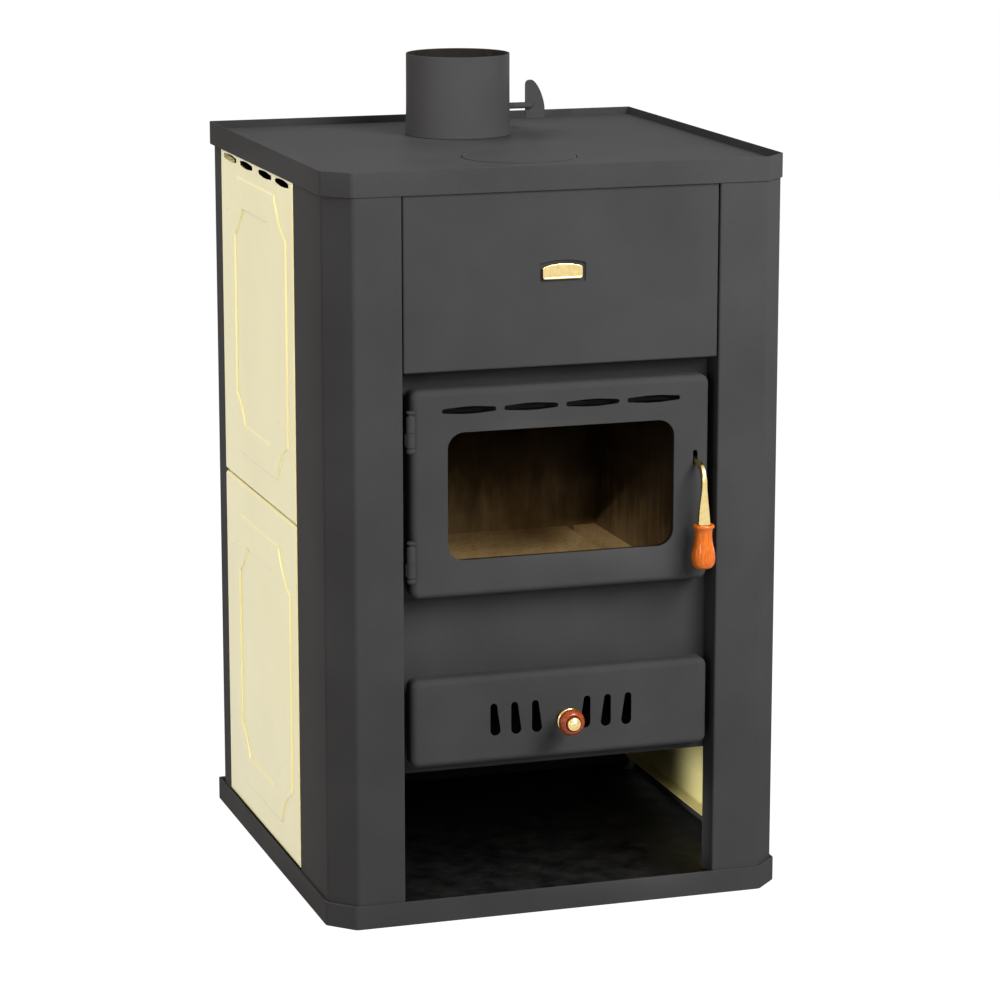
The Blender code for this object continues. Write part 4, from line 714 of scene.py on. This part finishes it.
damperKey = {
    "tip": 0.0055, "flat": 0.0085, "fullness": 1.3, "below": 0.005, "foot": 0.0012, "edge": 0.0006,
    "play": 0.0004, "notch": 0.0049, "axleTip": 0.8, "axleEnds": (0.0008, 0.001), "notchPlay": 0.001}


def damperParts():
    low, high, axle, half = boxOf("damper_spindle")
    r, place = half.z, (0, axle.y, axle.z)
    tip, (first, last) = r * damperKey["axleTip"], damperKey["axleEnds"]
    profile = [(tip, low.x), (r, low.x + first), (r, high.x - last), (tip, high.x)]
    finishPiece(turned("damper_axle", profile, place, "X", 32), stovePaint, "damper", "damper_spindle")
    low, high, middle, half = boxOf("damper_bearing")
    bore, outer, place = r + damperKey["play"], half.z, (0, middle.y, middle.z)
    profile = [(bore, low.x), (outer, low.x), (outer, high.x), (bore, high.x)]
    made = turned("damper_bush", profile, place, "X", 32, wrap=True)
    finishPiece(made, millScale, "stove", "damper_bearing", edge=0.0003)
    low, high, middle, half = boxOf("damper_disc")
    made = carried("damper_flap", arcAt((0, middle.z), half.z, aroundFrom(120)), low.y, high.y)
    wide = outer + damperKey["notchPlay"]
    notch = [(wide, -half.z - through), (wide, damperKey["notch"] - half.z)]
    combine(made, [turned("notch", notch, place, "X", 32)])
    finishPiece(made, millScale, "damper", "damper_disc", edge=0.0003)


def damperHandle():
    # A leaf: upright on its left, flat below, its right side a quarter of a superellipse
    # from below the spindle to its tip, cos and sin of the angle to a power.
    size, tip, flat = damperKey, damperKey["tip"], damperKey["flat"]
    low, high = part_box("damper_key")
    axle = boxOf("damper_spindle")[2]
    start = axle.z - size["below"]
    foot = roundBends([(low.x, axle.z), (low.x, low.z), (high.x, low.z), (high.x, start)],
                      [0, size["foot"], size["foot"], 0])[1:-1]
    angle = np.linspace(0, pi / 2, 25)
    right = np.stack([low.x + flat + (high.x - low.x - flat) * np.cos(angle).clip(0) ** size["fullness"],
                      start + (high.z - start) * np.sin(angle) ** size["fullness"]], 1)
    left = np.stack([low.x + tip * (1 - np.sin(angle)), high.z - tip * (1 - np.cos(angle))], 1)
    made = carried("damper_grip", np.vstack([foot, right, left]), low.y, high.y)
    finishPiece(made, stovePaint, "damper", "damper_key", edge=size["edge"])


# Pressed fronts: upper panel, fire door and ash drawer

def pressedFront(name, node, size):
    # A flat face with round corners and a rolled rim, the corners narrowing with the rim.
    low, high, middle, half = boxOf(node)
    corner = size["corner"]
    insets, drops = rolledRim(size["roll"], size["sheet"], high.y - low.y, 11, 11)
    loops = [roundedRect(half.x - i, half.z - i, max(corner - i, cabinet["leastBend"]))
             + (middle.x, middle.z) for i in insets]
    return addSolid(name, laidFlat(loops, low.y + drops, "Y")), low


upper = {"corner": 0.0025, "roll": 0.0025, "sheet": 0.0015}
badge = {
    "margin": 0.004, "recess": 0.0032, "boss": 0.0015, "arch": 0.0035, "rim": 0.0016, "sink": 0.0005,
    "corner": 0.003, "lips": (0.0010, 0.0002, -0.0012, -0.0012), "lipDepths": (0.0013, 0.0016),
    "lipFoot": 0.0012, "bossFoot": 0.0004, "steps": (0.0002, 0.0006, 0.0003, 0.0007), "dip": 0.0001}


def archedLoop(width, height, arch):
    # A plate with a straight foot and a gable whose ridge is bent so widely that it
    # reaches the corners' bends: a bend's run is its radius times tan(turn / 2).
    half, low, shoulder, corner = width / 2, -height / 2, height / 2 - arch, badge["corner"]
    slope = atan2(2 * arch, half)
    run = hypot(half, 2 * arch) - corner * tan((pi / 2 - slope) / 2)
    corners = [(-half, low), (half, low), (half, shoulder), (0, shoulder + 2 * arch), (-half, shoulder)]
    return roundBends(corners, [corner, corner, corner, 0.98 * run / tan(slope), corner], steps=14)


def upperPanel():
    size, arch = badge, badge["arch"]
    made, corner = pressedFront("upper_cover", "upper_front_panel", upper)
    low, high, middle, half = boxOf("badge_plate")
    wide, tall, centre = 2 * half.x, 2 * half.z, (middle.x, middle.z)
    pocket = archedLoop(wide + 2 * size["margin"], tall + 2 * size["margin"], arch) + centre
    face, floor = corner.y, corner.y + size["recess"]
    combine(made, [carried("pocket", pocket, face - through, face + through)])
    finishPiece(made, stovePaint, "stove", "upper_front_panel", edge=0.0003)
    loops = [shiftLine(pocket, inset) for inset in size["lips"]]
    depths = [floor, *(face + depth for depth in size["lipDepths"]), floor + size["lipFoot"]]
    made = addSolid("badge_recess", laidFlat(loops, depths, "Y"))
    finishPiece(made, stovePaint, "stove", "upper_front_panel")
    seat = archedLoop(wide - 2 * size["boss"], tall - 2 * size["boss"], arch) + centre
    made = carried("badge_boss", seat, high.y, floor + size["bossFoot"])
    finishPiece(made, stovePaint, "stove", "upper_front_panel")
    # The plate's rim is a flat ring with round arrises, and the field inside it lies lower.
    rim, plate = size["rim"], archedLoop(wide, tall, arch)
    small, arris, brink, slope = size["steps"]
    steps = [(0, high.y - low.y), (0, arris), (small, small), (arris, 0), (rim, 0),
             (rim + brink, size["dip"]), (rim + slope, size["sink"])]
    loops = [shiftLine(plate, inset) + centre for inset, _ in steps]
    finishPiece(addSolid("badge", laidFlat(loops, [low.y + drop for _, drop in steps], "Y")),
                buffedBrass, "stove", "badge_plate")


door = {
    "corner": 0.011, "roll": 0.008, "sheet": 0.002, "window": (0.281, 0.153), "windowRise": 0.0445,
    "windowCorner": 0.020, "ventRise": 0.2235, "ventPitch": 0.0762, "slot": (0.0056, 0.0135, 0.0045),
    "slotRound": 0.98, "cutPast": 0.003}


def fireDoor():
    size = door
    made, low = pressedFront("door_skin", "door_leaf", size)
    wide, tall = size["window"]
    slotWide, above, below = size["slot"]
    pivot = (boxOf("latch_lever")[2].x, boxOf("latch_pin")[2].z + (above - below) / 2)
    level = low.z + size["windowRise"] + tall / 2
    loops = [roundedRect(wide / 2, tall / 2, size["windowCorner"], steps=16) + (0, level)]
    loops += [ventLoop((k - 1.5) * size["ventPitch"], low.z + size["ventRise"]) for k in range(4)]
    loops.append(roundedRect(slotWide / 2, (above + below) / 2, slotWide / 2 * size["slotRound"]) + pivot)
    inner = low.y + size["sheet"] + size["cutPast"]
    combine(made, [carried("opening", loop, low.y - through, inner) for loop in loops])
    finishPiece(made, stovePaint, "fire_door", "door_leaf", edge=0.0004)


sealing = {
    "corner": 0.020, "web": 0.016, "lap": 0.003, "width": 0.011, "wall": 0.0016, "rope": 0.008,
    "braid": 0.0045, "braidDepth": 0.0003, "braidStep": 0.0011, "grind": 0.0005}


def doorGlass():
    low, high, middle, half = boxOf("door_glass")
    grind = sealing["grind"]
    loop = roundedRect(half.x, half.z, sealing["corner"] + sealing["lap"], steps=16) + (middle.x, middle.z)
    inner = shiftLine(loop, grind)
    heights = [low.y, low.y + grind, high.y - grind, high.y]
    made = addSolid("glass_pane", laidFlat([inner, loop, loop, inner], heights, "Y"))
    finishPiece(made, ceramicGlass, "fire_door", "door_glass")


def doorSeal():
    # The channel's section goes round the window's frame; the rope in its groove is a tube
    # whose radius waves with the sum and the difference of the way along and the way round.
    size = sealing
    low, high, middle, half = boxOf("door_seal_frame")
    wide, wall, lap, web, rope = size["width"], size["wall"], size["lap"], size["web"], size["rope"] / 2
    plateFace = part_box("boiler_front_plate")[0].y
    path = roundedRect(half.x - wide, half.z - wide, size["corner"], steps=14)
    depth, groove, centre = high.y - low.y, rope + hair, wide / 2
    bottom = plateFace - 2 * groove - low.y
    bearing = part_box("door_leaf")[0].y + door["sheet"] + hair - low.y
    section = [(0, 0), (lap, 0), (lap, web), (wide - wall, web), (wide - wall, bearing), (wide, bearing),
               (wide, depth), (centre + groove, depth), (centre + groove, bottom), (centre - groove, bottom),
               (centre - groove, depth), (0, depth)]
    around = np.stack([shiftLine(path, -out) for out, _ in section], 1)
    back = np.broadcast_to([y for _, y in section], around.shape[:2])
    rings = np.stack([around[..., 0], low.y + back, around[..., 1] + middle.z], -1)
    made = addSolid("seal_channel", rings, True)
    finishPiece(made, millScale, "fire_door", "door_seal_frame", edge=0.0003)
    loop = shiftLine(path, -centre)
    loop = np.vstack([loop, loop[:1]])
    walk = np.concatenate([[0], np.cumsum(np.hypot(*np.diff(loop, axis=0).T))])
    along = np.linspace(0, walk[-1], int(walk[-1] / size["braidStep"]), endpoint=False)
    line = np.stack([np.interp(along, walk, loop[:, k]) for k in (0, 1)], 1)
    angle = aroundFrom(20)
    phase = (2 * pi * round(walk[-1] / size["braid"]) * along / walk[-1])[:, None]
    braid = np.sin(phase + 3 * angle) * np.sin(phase - 3 * angle)
    radius = rope - size["braidDepth"] * (0.5 + 0.5 * braid)
    run = np.roll(line, -1, 0) - np.roll(line, 1, 0)
    outward = np.stack([run[:, 1], -run[:, 0]], 1) / np.hypot(run[:, 0], run[:, 1])[:, None]
    flat = line[:, None] + outward[:, None] * (radius * np.cos(angle))[..., None]
    depths = plateFace - groove + radius * np.sin(angle)
    rings = np.stack([flat[..., 0], depths, flat[..., 1] + middle.z], -1)
    finishPiece(addSolid("seal_cord", rings, True), glassRope, "fire_door", "door_seal_rope")


hinge = {
    "radius": 0.0052, "pin": 0.003, "pinLength": 0.014, "half": 0.0185, "neck": 0.0038, "disc": 0.0028,
    "discLap": 0.0003, "groove": 0.0012, "ball": 0.0062, "leaf": 0.0022, "play": 0.0004, "arris": 0.0006,
    "inset": 0.0008, "leafGap": 0.002, "tip": 0.001, "waist": 0.60, "throat": 0.7,
    "neckOutline": [(1.3, 0), (1, 0.2632), (1, 0.7895), (1.35, 1)],
    "discOutline": [(0.93, 0), (1, 0.28), (0.98, 0.6), (0.84, 0.88), (0.5, 0.97), (0.05, 1)],
    "ballOutline": [(0.78, -0.03226), (0.96, 0.13), (1, 0.38), (0.94, 0.64), (0.66, 0.90), (0.05, 1)]}


def topFinial(base):
    # The turned top of a hinge: a hollow neck under a thin disc.
    size, radius, neck = hinge, hinge["radius"], hinge["neck"]
    return np.vstack([turnedOutline(size["neckOutline"], radius * size["waist"], neck, base, 4),
                      turnedOutline(size["discOutline"], radius + size["discLap"], size["disc"],
                                    base + neck, 5)])


def lowFinial(base):
    # The turned foot of a hinge: a groove over a ball.
    size, throat, ball = hinge, hinge["radius"] * hinge["throat"], base - hinge["groove"]
    return np.vstack([[(throat, base), (throat, ball + hair)],
                      turnedOutline(size["ballOutline"], size["radius"], -size["ball"], ball, 5)])


def hinges():
    size, r, half, arris, pin = hinge, hinge["radius"], hinge["half"], hinge["arris"], hinge["pin"]
    bore, length, gap, leaf = pin + size["play"], size["pinLength"], size["leafGap"], size["leaf"]
    tip = size["tip"]
    for level in ("upper", "lower"):
        low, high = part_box("door_knuckle_" + level)
        frameLow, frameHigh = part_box("frame_knuckle_" + level)
        x, y, z = frameLow.x + size["inset"] + r, frameLow.y + r, low.z
        barrel = [(bore, length + tip), (bore, 0), (r, 0), (r, half - arris), (r - arris, half)]
        made = turned("door_hinge_" + level, np.vstack([barrel, topFinial(half)]), (x, y, z), count=40)
        tool = addBlock("leaf", (high.x - leaf, y + bore + arris, z + gap),
                        (high.x, high.y, z + half - gap))
        combine(made, [tool], "UNION")
        finishPiece(made, stovePaint, "fire_door", "door_knuckle_" + level, edge=0.0002)
        barrel = [(pin * size["throat"], length), (pin, length - tip), (pin, -hair), (r, -hair),
                  (r, arris - half), (r - arris, -half)]
        made = turned("frame_hinge_" + level, np.vstack([barrel, lowFinial(-half)]), (x, y, z), count=40)
        tool = addBlock("strap", (frameLow.x, y, z - half + gap),
                        (frameLow.x + leaf, frameHigh.y, z - gap))
        combine(made, [tool], "UNION")
        finishPiece(made, stovePaint, "stove", "frame_knuckle_" + level, edge=0.0002)


lever = {
    "tail": 0.005, "eye": 0.0029, "tangRadius": 0.003, "tangLength": 0.034, "squareness": 3.4,
    "tailBar": (0.004, 0.006), "tab": (0.006, 0, 0.004, 0.008), "tangRoot": 0.004,
    "stations": [(0, 0, 4, 10), (0.32, 0, 4, 8), (0.55, 0.017, 5, 9.2), (0.76, 0.056, 6, 9.2),
                 (0.91, 0.14, 6, 8.464), (0.99, 0.27, 6.7, 7.208), (1, 0.42, 7.4, 6.8), (1, 0.68, 11.5, 6.8),
                 (1, 0.86, 14.04, 8.6), (1, 1, 15.6, 10.4)]}
grip = {
    "length": 0.054, "radius": 0.0143, "bore": 0.0033, "socket": 0.001,
    "outline": [(0.62, 0), (0.80, -0.00556), (0.88, 0.015), (0.90, 0.040), (0.87, 0.068), (0.79, 0.095),
                (0.735, 0.15), (0.72, 0.22), (0.745, 0.33), (0.83, 0.46), (0.935, 0.58), (1, 0.70),
                (0.995, 0.80), (0.90, 0.90), (0.66, 0.97), (0.30, 1)]}


def latchLever():
    # A station has its share of the way out, its share of the way down, its width and its
    # thickness in mm. The bar's section is a superellipse, square to the curve through them.
    size = lever
    pin, gripMiddle = boxOf("latch_pin")[2], boxOf("latch_grip")[2]
    pivot = np.array([boxOf("latch_lever")[2].x, pin.y, pin.z])
    stem, top = gripMiddle.y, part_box("latch_grip")[1].z
    stations = np.array(size["stations"]) * (pivot[1] - stem, top - pivot[2], 0.001, 0.001)
    stations[-1, 1] += hair
    tail = (-size["tail"], 0, *size["tailBar"])
    line = smoothLine([tail, stations[0], size["tab"], *stations[1:]], spans=7)
    run = np.gradient(line[:, :2], axis=0)
    across = np.stack([-run[:, 1], run[:, 0]], 1) / np.hypot(run[:, 0], run[:, 1])[:, None]
    angle = aroundFrom(36)
    u, v = (line[:, k, None] * np.sign(wave) * np.abs(wave) ** (2 / size["squareness"]) / 2
            for k, wave in ((2, np.cos(angle)), (3, np.sin(angle))))
    rings = np.stack([pivot[0] + u, pivot[1] - line[:, 0:1] - across[:, 0:1] * v,
                      pivot[2] + line[:, 1:2] + across[:, 1:2] * v], -1)
    made = addSolid("brass_lever", rings)
    radius, tang, eye, place = size["tangRadius"], -size["tangLength"], size["eye"], (pivot[0], stem, top)
    combine(made, [turned("tang", [(radius, size["tangRoot"]), (radius, tang)], place, count=24)], "UNION")
    combine(made, [turned("eye", [(eye, -through), (eye, through)], pivot, "X", 32)])
    finishPiece(made, buffedBrass, "latch", "latch_lever", edge=0.0002, corner=50)
    profile = np.vstack([[(grip["bore"], tang - grip["socket"]), (grip["bore"], 0)],
                         turnedOutline(grip["outline"], grip["radius"], -grip["length"])])
    finishPiece(turned("wood_grip", profile, place, count=72), orangeBeech, "latch", "latch_grip")


drawer = {
    "corner": 0.010, "roll": 0.008, "sheet": 0.0015, "slotHeight": 0.0395, "slotWide": 0.0126,
    "slotNarrow": 0.0084, "slotFirst": 0.0315, "slotPitch": 0.026}
knob = {
    "stem": 0.029, "flange": 0.003, "ring": 0.014, "cap": 0.010, "core": 0.0035, "washer": 0.0048,
    "flangeRadius": 0.0150, "ringRadius": 0.016, "capRadius": 0.0086, "seat": 0.004, "brim": 0.0012,
    "ringOutline": [(0.60, 0), (0.78, 0.03), (0.92, 0.14), (0.99, 0.34), (1, 0.46), (0.95, 0.66),
                    (0.84, 0.84), (0.72, 0.9571), (0.62, 0.9786)],
    "capOutline": [(1, 0), (1, 0.40), (0.985, 0.52), (0.92, 0.66), (0.78, 0.76), (0.66, 0.79),
                   (0.56, 0.84), (0.42, 0.93), (0.22, 0.99), (0.04, 1)]}
tray = {
    "sheet": 0.0012, "corner": 0.003, "airOver": 0.007, "airStart": 0.018, "bend": 0.0005,
    "topLeft": 0.002, "lowLeft": 0.003}


def taperedSlot(across, up, hand):
    # A half circle above and a wider one below, the edge next to the knob upright.
    wide, narrow, half = drawer["slotWide"] / 2, drawer["slotNarrow"] / 2, drawer["slotHeight"] / 2
    lean, angle = hand * (wide - narrow) * 0.5, np.linspace(0, pi, 15)
    top, low = arcAt((lean, half - narrow), narrow, angle), arcAt((-lean, wide - half), -wide, angle)
    return np.vstack([top, low]) + (across, up)


def drawerFront():
    size, level = drawer, boxOf("knob_stem")[2].z
    made, low = pressedFront("drawer_skin", "drawer_front", size)
    loops = [taperedSlot(hand * (size["slotFirst"] + k * size["slotPitch"]), level, hand)
             for hand in (-1, 1) for k in range(3)]
    combine(made, [carried("slot", loop, low.y - through, low.y + through) for loop in loops])
    finishPiece(made, stovePaint, "ash_drawer", "drawer_front", edge=0.0004)


def drawerKnob():
    # Three turned pieces, their profiles measured outwards from the drawer's face.
    core, stem, flange, seat = knob["core"], knob["stem"], knob["flange"], knob["seat"]
    foot, wide, end, outwards = knob["washer"], knob["flangeRadius"], stem + flange, (1, -1)
    place = (0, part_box("drawer_front")[0].y, boxOf("knob_stem")[2].z)
    bell = [(foot, 0), (foot * 0.96, 0.0012), (core * 1.35, 0.0030), (core, 0.008), (core, stem - 0.008),
            (core * 1.5, stem - 0.003), (wide * 0.82, stem - 0.0006), (wide * 0.97, stem + flange * 0.3),
            (wide, stem + flange * 0.6), (wide * 0.9, end)]
    bell = smoothLine(bell) + (0, hair)
    bell[-1, 1] = end
    front = end + knob["ring"]
    profile = np.vstack([bell, [(core, end), (core, front - seat)]]) * outwards
    finishPiece(turned("brass_stem", profile, place, "Y", 64), buffedBrass, "ash_drawer", "knob_stem")
    bore, socket, bottom = core + hair, knob["capRadius"] + hair, end + hair
    profile = np.vstack([
        [(bore, bottom)], turnedOutline(knob["ringOutline"], knob["ringRadius"], knob["ring"], bottom),
        [(socket, front - knob["brim"]), (socket, front - seat), (bore, front - seat)]])
    made = turned("wood_ring", profile * outwards, place, "Y", 72, wrap=True)
    finishPiece(made, brownBeech, "ash_drawer", "knob_ring")
    profile = turnedOutline(knob["capOutline"], knob["capRadius"], knob["cap"], front - seat + hair)
    made = turned("brass_cap", profile * outwards, place, "Y", 64)
    finishPiece(made, buffedBrass, "ash_drawer", "knob_cap")


def ashTray():
    # A box folded from thin sheet, open on top and with an air gap in its front.
    sheet, corner, bend, start = tray["sheet"], tray["corner"], tray["bend"], tray["airStart"]
    low, high, middle, half = boxOf("ash_tray")
    loops = [roundedRect(half.x - i, half.y - i, max(corner - i, bend), steps=6) + (middle.x, middle.y)
             for i in (0, 0, sheet, sheet)]
    made = addSolid("ash_pan", laidFlat(loops, [low.z, high.z, high.z, low.z + sheet], "Z"))
    centre = boxOf("drawer_front")[2].z
    reach = drawer["slotFirst"] + 2.5 * drawer["slotPitch"]
    air = min(drawer["slotHeight"] / 2 + tray["airOver"], high.z - centre - tray["topLeft"],
              centre - low.z - tray["lowLeft"])
    combine(made, [addBlock("air", (first, low.y - through, centre - air),
                            (last, low.y + through, centre + air))
                   for first, last in ((-reach, -start), (start, reach))])
    finishPiece(made, millScale, "ash_drawer", "ash_tray", edge=0.0003)


# Fire floor

fireFloor = {
    "gap": 0.0006, "strip": 0.030, "stripHeight": 0.0088, "arris": 0.0012, "rim": 0.010, "slots": 6,
    "slotWide": 0.007, "bar": 0.003, "slotRound": 0.98}


def floorBoard():
    low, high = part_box("firebox_floor_board")
    grateLow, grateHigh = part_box("grate")
    grow = Vector((fireFloor["gap"], fireFloor["gap"], 2 * through))
    made = addBlock("vermiculite_floor", low, high)
    combine(made, [addBlock("hole", grateLow - grow, grateHigh + grow)])
    finishPiece(made, vermiculite, "stove", "firebox_floor_board", edge=fireFloor["arris"])
    low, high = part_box("grate_shelf")
    wide = fireFloor["strip"]
    for side, x in (("left", low.x), ("right", high.x - wide)):
        made = addBlock("vermiculite_strip_" + side, (x + hair, low.y + hair, high.z + layer),
                        (x + wide - hair, high.y - hair, high.z + fireFloor["stripHeight"]))
        finishPiece(made, vermiculite, "stove", edge=0.0004)


def castGrate():
    rim, wide, count = fireFloor["rim"], fireFloor["slotWide"] / 2, fireFloor["slots"]
    low, high, _, half = boxOf("grate")
    made = addBlock("cast_grate", low, high)
    reach = (half.x - rim) / 2
    loop = roundedRect(reach - fireFloor["bar"], wide, wide * fireFloor["slotRound"], steps=6)
    rows = low.y + rim + (2 * half.y - 2 * rim) / count * (np.arange(count) + 0.5)
    combine(made, [carried("slot", loop + (hand * reach, y), low.z - through, high.z + through, "Z")
                   for y in rows for hand in (-1, 1)])
    finishPiece(made, sandCastIron, "stove", "grate", edge=0.0007)


def carriedOver():
    # Boiler and latch parts whose solids are right as they are get their real finishes.
    for finish, *nodes in (
            (millScale, "boiler_shell", "smoke_neck", "smoke_box", "latch_bracket", "latch_hook",
             "latch_keeper"), (sootAndShadePlate, "firebox_liner", "grate_shelf"), (sandCastIron, "flame_baffle"),
            (stovePaint, "wood_store_ceiling", "boiler_front_plate"), (zincPlate, "latch_pin")):
        for node in nodes:
            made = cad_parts[node]
            made.data.materials.clear()
            made.data.materials.append(finish["material"])


stages = {"cabinet": (frontColumns, rearPosts, lidAndBase), "side panels": (sidePanels,),
          "back": (backPanel, backScrews, waterSockets),
          "hob and flue": (hobPlate, cookingLid, flueCollar, damperParts, damperHandle),
          "door": (upperPanel, fireDoor, doorGlass, doorSeal, hinges, latchLever),
          "drawer": (drawerFront, drawerKnob, ashTray), "firebox": (floorBoard, castGrate, carriedOver)}
for stage, builders in stages.items():
    for build in builders:
        build()
    print(stage, "ready")


# Studio. Each lamp has its azimuth, elevation and distance, where it aims, its watts and its shape.

beam = radians(2.0)
studio = {"floorHalf": 14.0, "floorShare": 0.82, "floorGlow": 1.21, "ambient": 0.25, "paper": 0.40}
studio["lamps"] = {
    "key": (24, 34, 2.6, (0, 0, 0.55), 84, {"size": 1.0, "size_y": 1.2, "color": (0.96, 0.98, 1)}),
    "front_box": (5, 18, 3.0, (0, 0, 0.5), 22, {"size": 0.42, "size_y": 0.62}),
    "streak_box": (-47, 10, 3.0, (0, 0, 0.5), 8, {"size": 0.3, "size_y": 0.41}),
    "left_box": (-98, 10, 3.2, (0, 0, 0.5), 26, {"size": 1.6, "size_y": 2.0, "color": (1, 0.92, 0.82)}),
    "top_box": (-120, 64, 3.0, (0, 0, 0.5), 54, {"size": 1.6, "size_y": 1.6}),
    "rear_box": (120, 6, 3.2, (0, 0, 0.5), 46, {"size": 1.8, "size_y": 2.0}),
    "window_beam": (-31, 27, 2.4, (0.03, -0.27, 0.505), 0.055,
                    {"size": 0.17, "size_y": 0.13, "spread": beam}),
    "store_beam": (-45, 8, 2.4, (0.08, -0.27, 0.09), 0.065, {"size": 0.14, "size_y": 0.10, "spread": beam}),
    "panel_beam": (-12, 8, 1.0, (-0.286, 0.02, 0.445), 0.26,
                   {"size": 0.104, "size_y": 0.887, "spread": beam}),
    "flue_spot": (-30, 10, 3.0, (0, 0.12, 0.94), 340,
                  {"spot_size": radians(5), "spot_blend": 1.0, "shadow_soft_size": 0.1})}
view = {
    "place": (-1.3434, -4.2222, 1.4140), "turn": 0.311, "down": 0.215, "lens": 130.1, "sensor": 36,
    "far": 100}


def whiteForSight(tree):
    # One where a ray comes straight, by reflection or through glass from the eye.
    path = addNode(tree, "LightPath")
    seen = path.outputs["Is Camera Ray"]
    for way in ("Is Glossy Ray", "Is Transmission Ray"):
        seen = addNode(tree, "Math", {"operation": "MAXIMUM"}, {0: seen, 1: path.outputs[way]})
    return seen


def buildWorld():
    # White to the eye, a dim even light to everything else.
    scene.world = bpy.data.worlds.new("studio")
    scene.world.use_nodes = True
    tree = scene.world.node_tree
    tree.nodes.clear()
    ambient = addNode(tree, "Background", {"Color": (1, 1, 1, 1), "Strength": studio["ambient"]})
    white = addNode(tree, "Background", {"Color": (1, 1, 1, 1), "Strength": 1.0})
    mixed = addNode(tree, "MixShader", {}, {0: whiteForSight(tree), 1: ambient, 2: white})
    addNode(tree, "OutputWorld", {}, {"Surface": mixed}).is_active_output = True


def buildFloor():
    # A wide sheet of white paper that glows to the eye and still takes the stove's shadow.
    half = studio["floorHalf"]
    mesh = bpy.data.meshes.new("studio_floor")
    corners = [(-half, -half, 0), (half, -half, 0), (half, half, 0), (-half, half, 0)]
    mesh.from_pydata(corners, [], [(0, 1, 2, 3)])
    floor = bpy.data.objects.new("studio_floor", mesh)
    scene.collection.objects.link(floor)
    material, tree, _ = startMaterial("white_sweep")
    share = addNode(tree, "Math", {"operation": "MULTIPLY", 1: studio["floorShare"]},
                    {0: whiteForSight(tree)})
    paper = addNode(tree, "BsdfDiffuse", {"Color": (studio["paper"],) * 3 + (1,)})
    glow = addNode(tree, "Emission", {"Color": (1, 1, 1, 1), "Strength": studio["floorGlow"]})
    mixed = addNode(tree, "MixShader", {}, {0: share, 1: paper, 2: glow})
    addNode(tree, "OutputMaterial", {}, {"Surface": mixed})
    mesh.materials.append(material)


def hangLamps():
    # A lamp stands away from its aim along (sin a cos e, -cos a cos e, sin e) and faces it.
    for name, (azimuth, elevation, distance, aim, watts, shape) in studio["lamps"].items():
        a, e = radians(azimuth), radians(elevation)
        back = Vector((sin(a) * cos(e), -cos(a) * cos(e), sin(e)))
        data = bpy.data.lights.new(name, "SPOT" if "spot_size" in shape else "AREA")
        if data.type == "AREA":
            data.shape = "RECTANGLE"
        for key, value in shape.items():
            setattr(data, key, value)
        data.energy = watts
        lamp = bpy.data.objects.new(name, data)
        lamp.location = Vector(aim) + back * distance
        lamp.rotation_euler = back.to_track_quat("Z", "Y").to_euler()
        scene.collection.objects.link(lamp)


def placeCamera():
    data = bpy.data.cameras.new("camera")
    data.lens, data.sensor_width, data.clip_end = view["lens"], view["sensor"], view["far"]
    camera = bpy.data.objects.new("camera", data)
    camera.location = view["place"]
    camera.rotation_euler = Euler((pi / 2 - view["down"], 0, -view["turn"]))
    scene.collection.objects.link(camera)
    scene.camera = camera
    scene.view_settings.view_transform = "Standard"


buildWorld()
buildFloor()
hangLamps()
placeCamera()
print("studio ready")
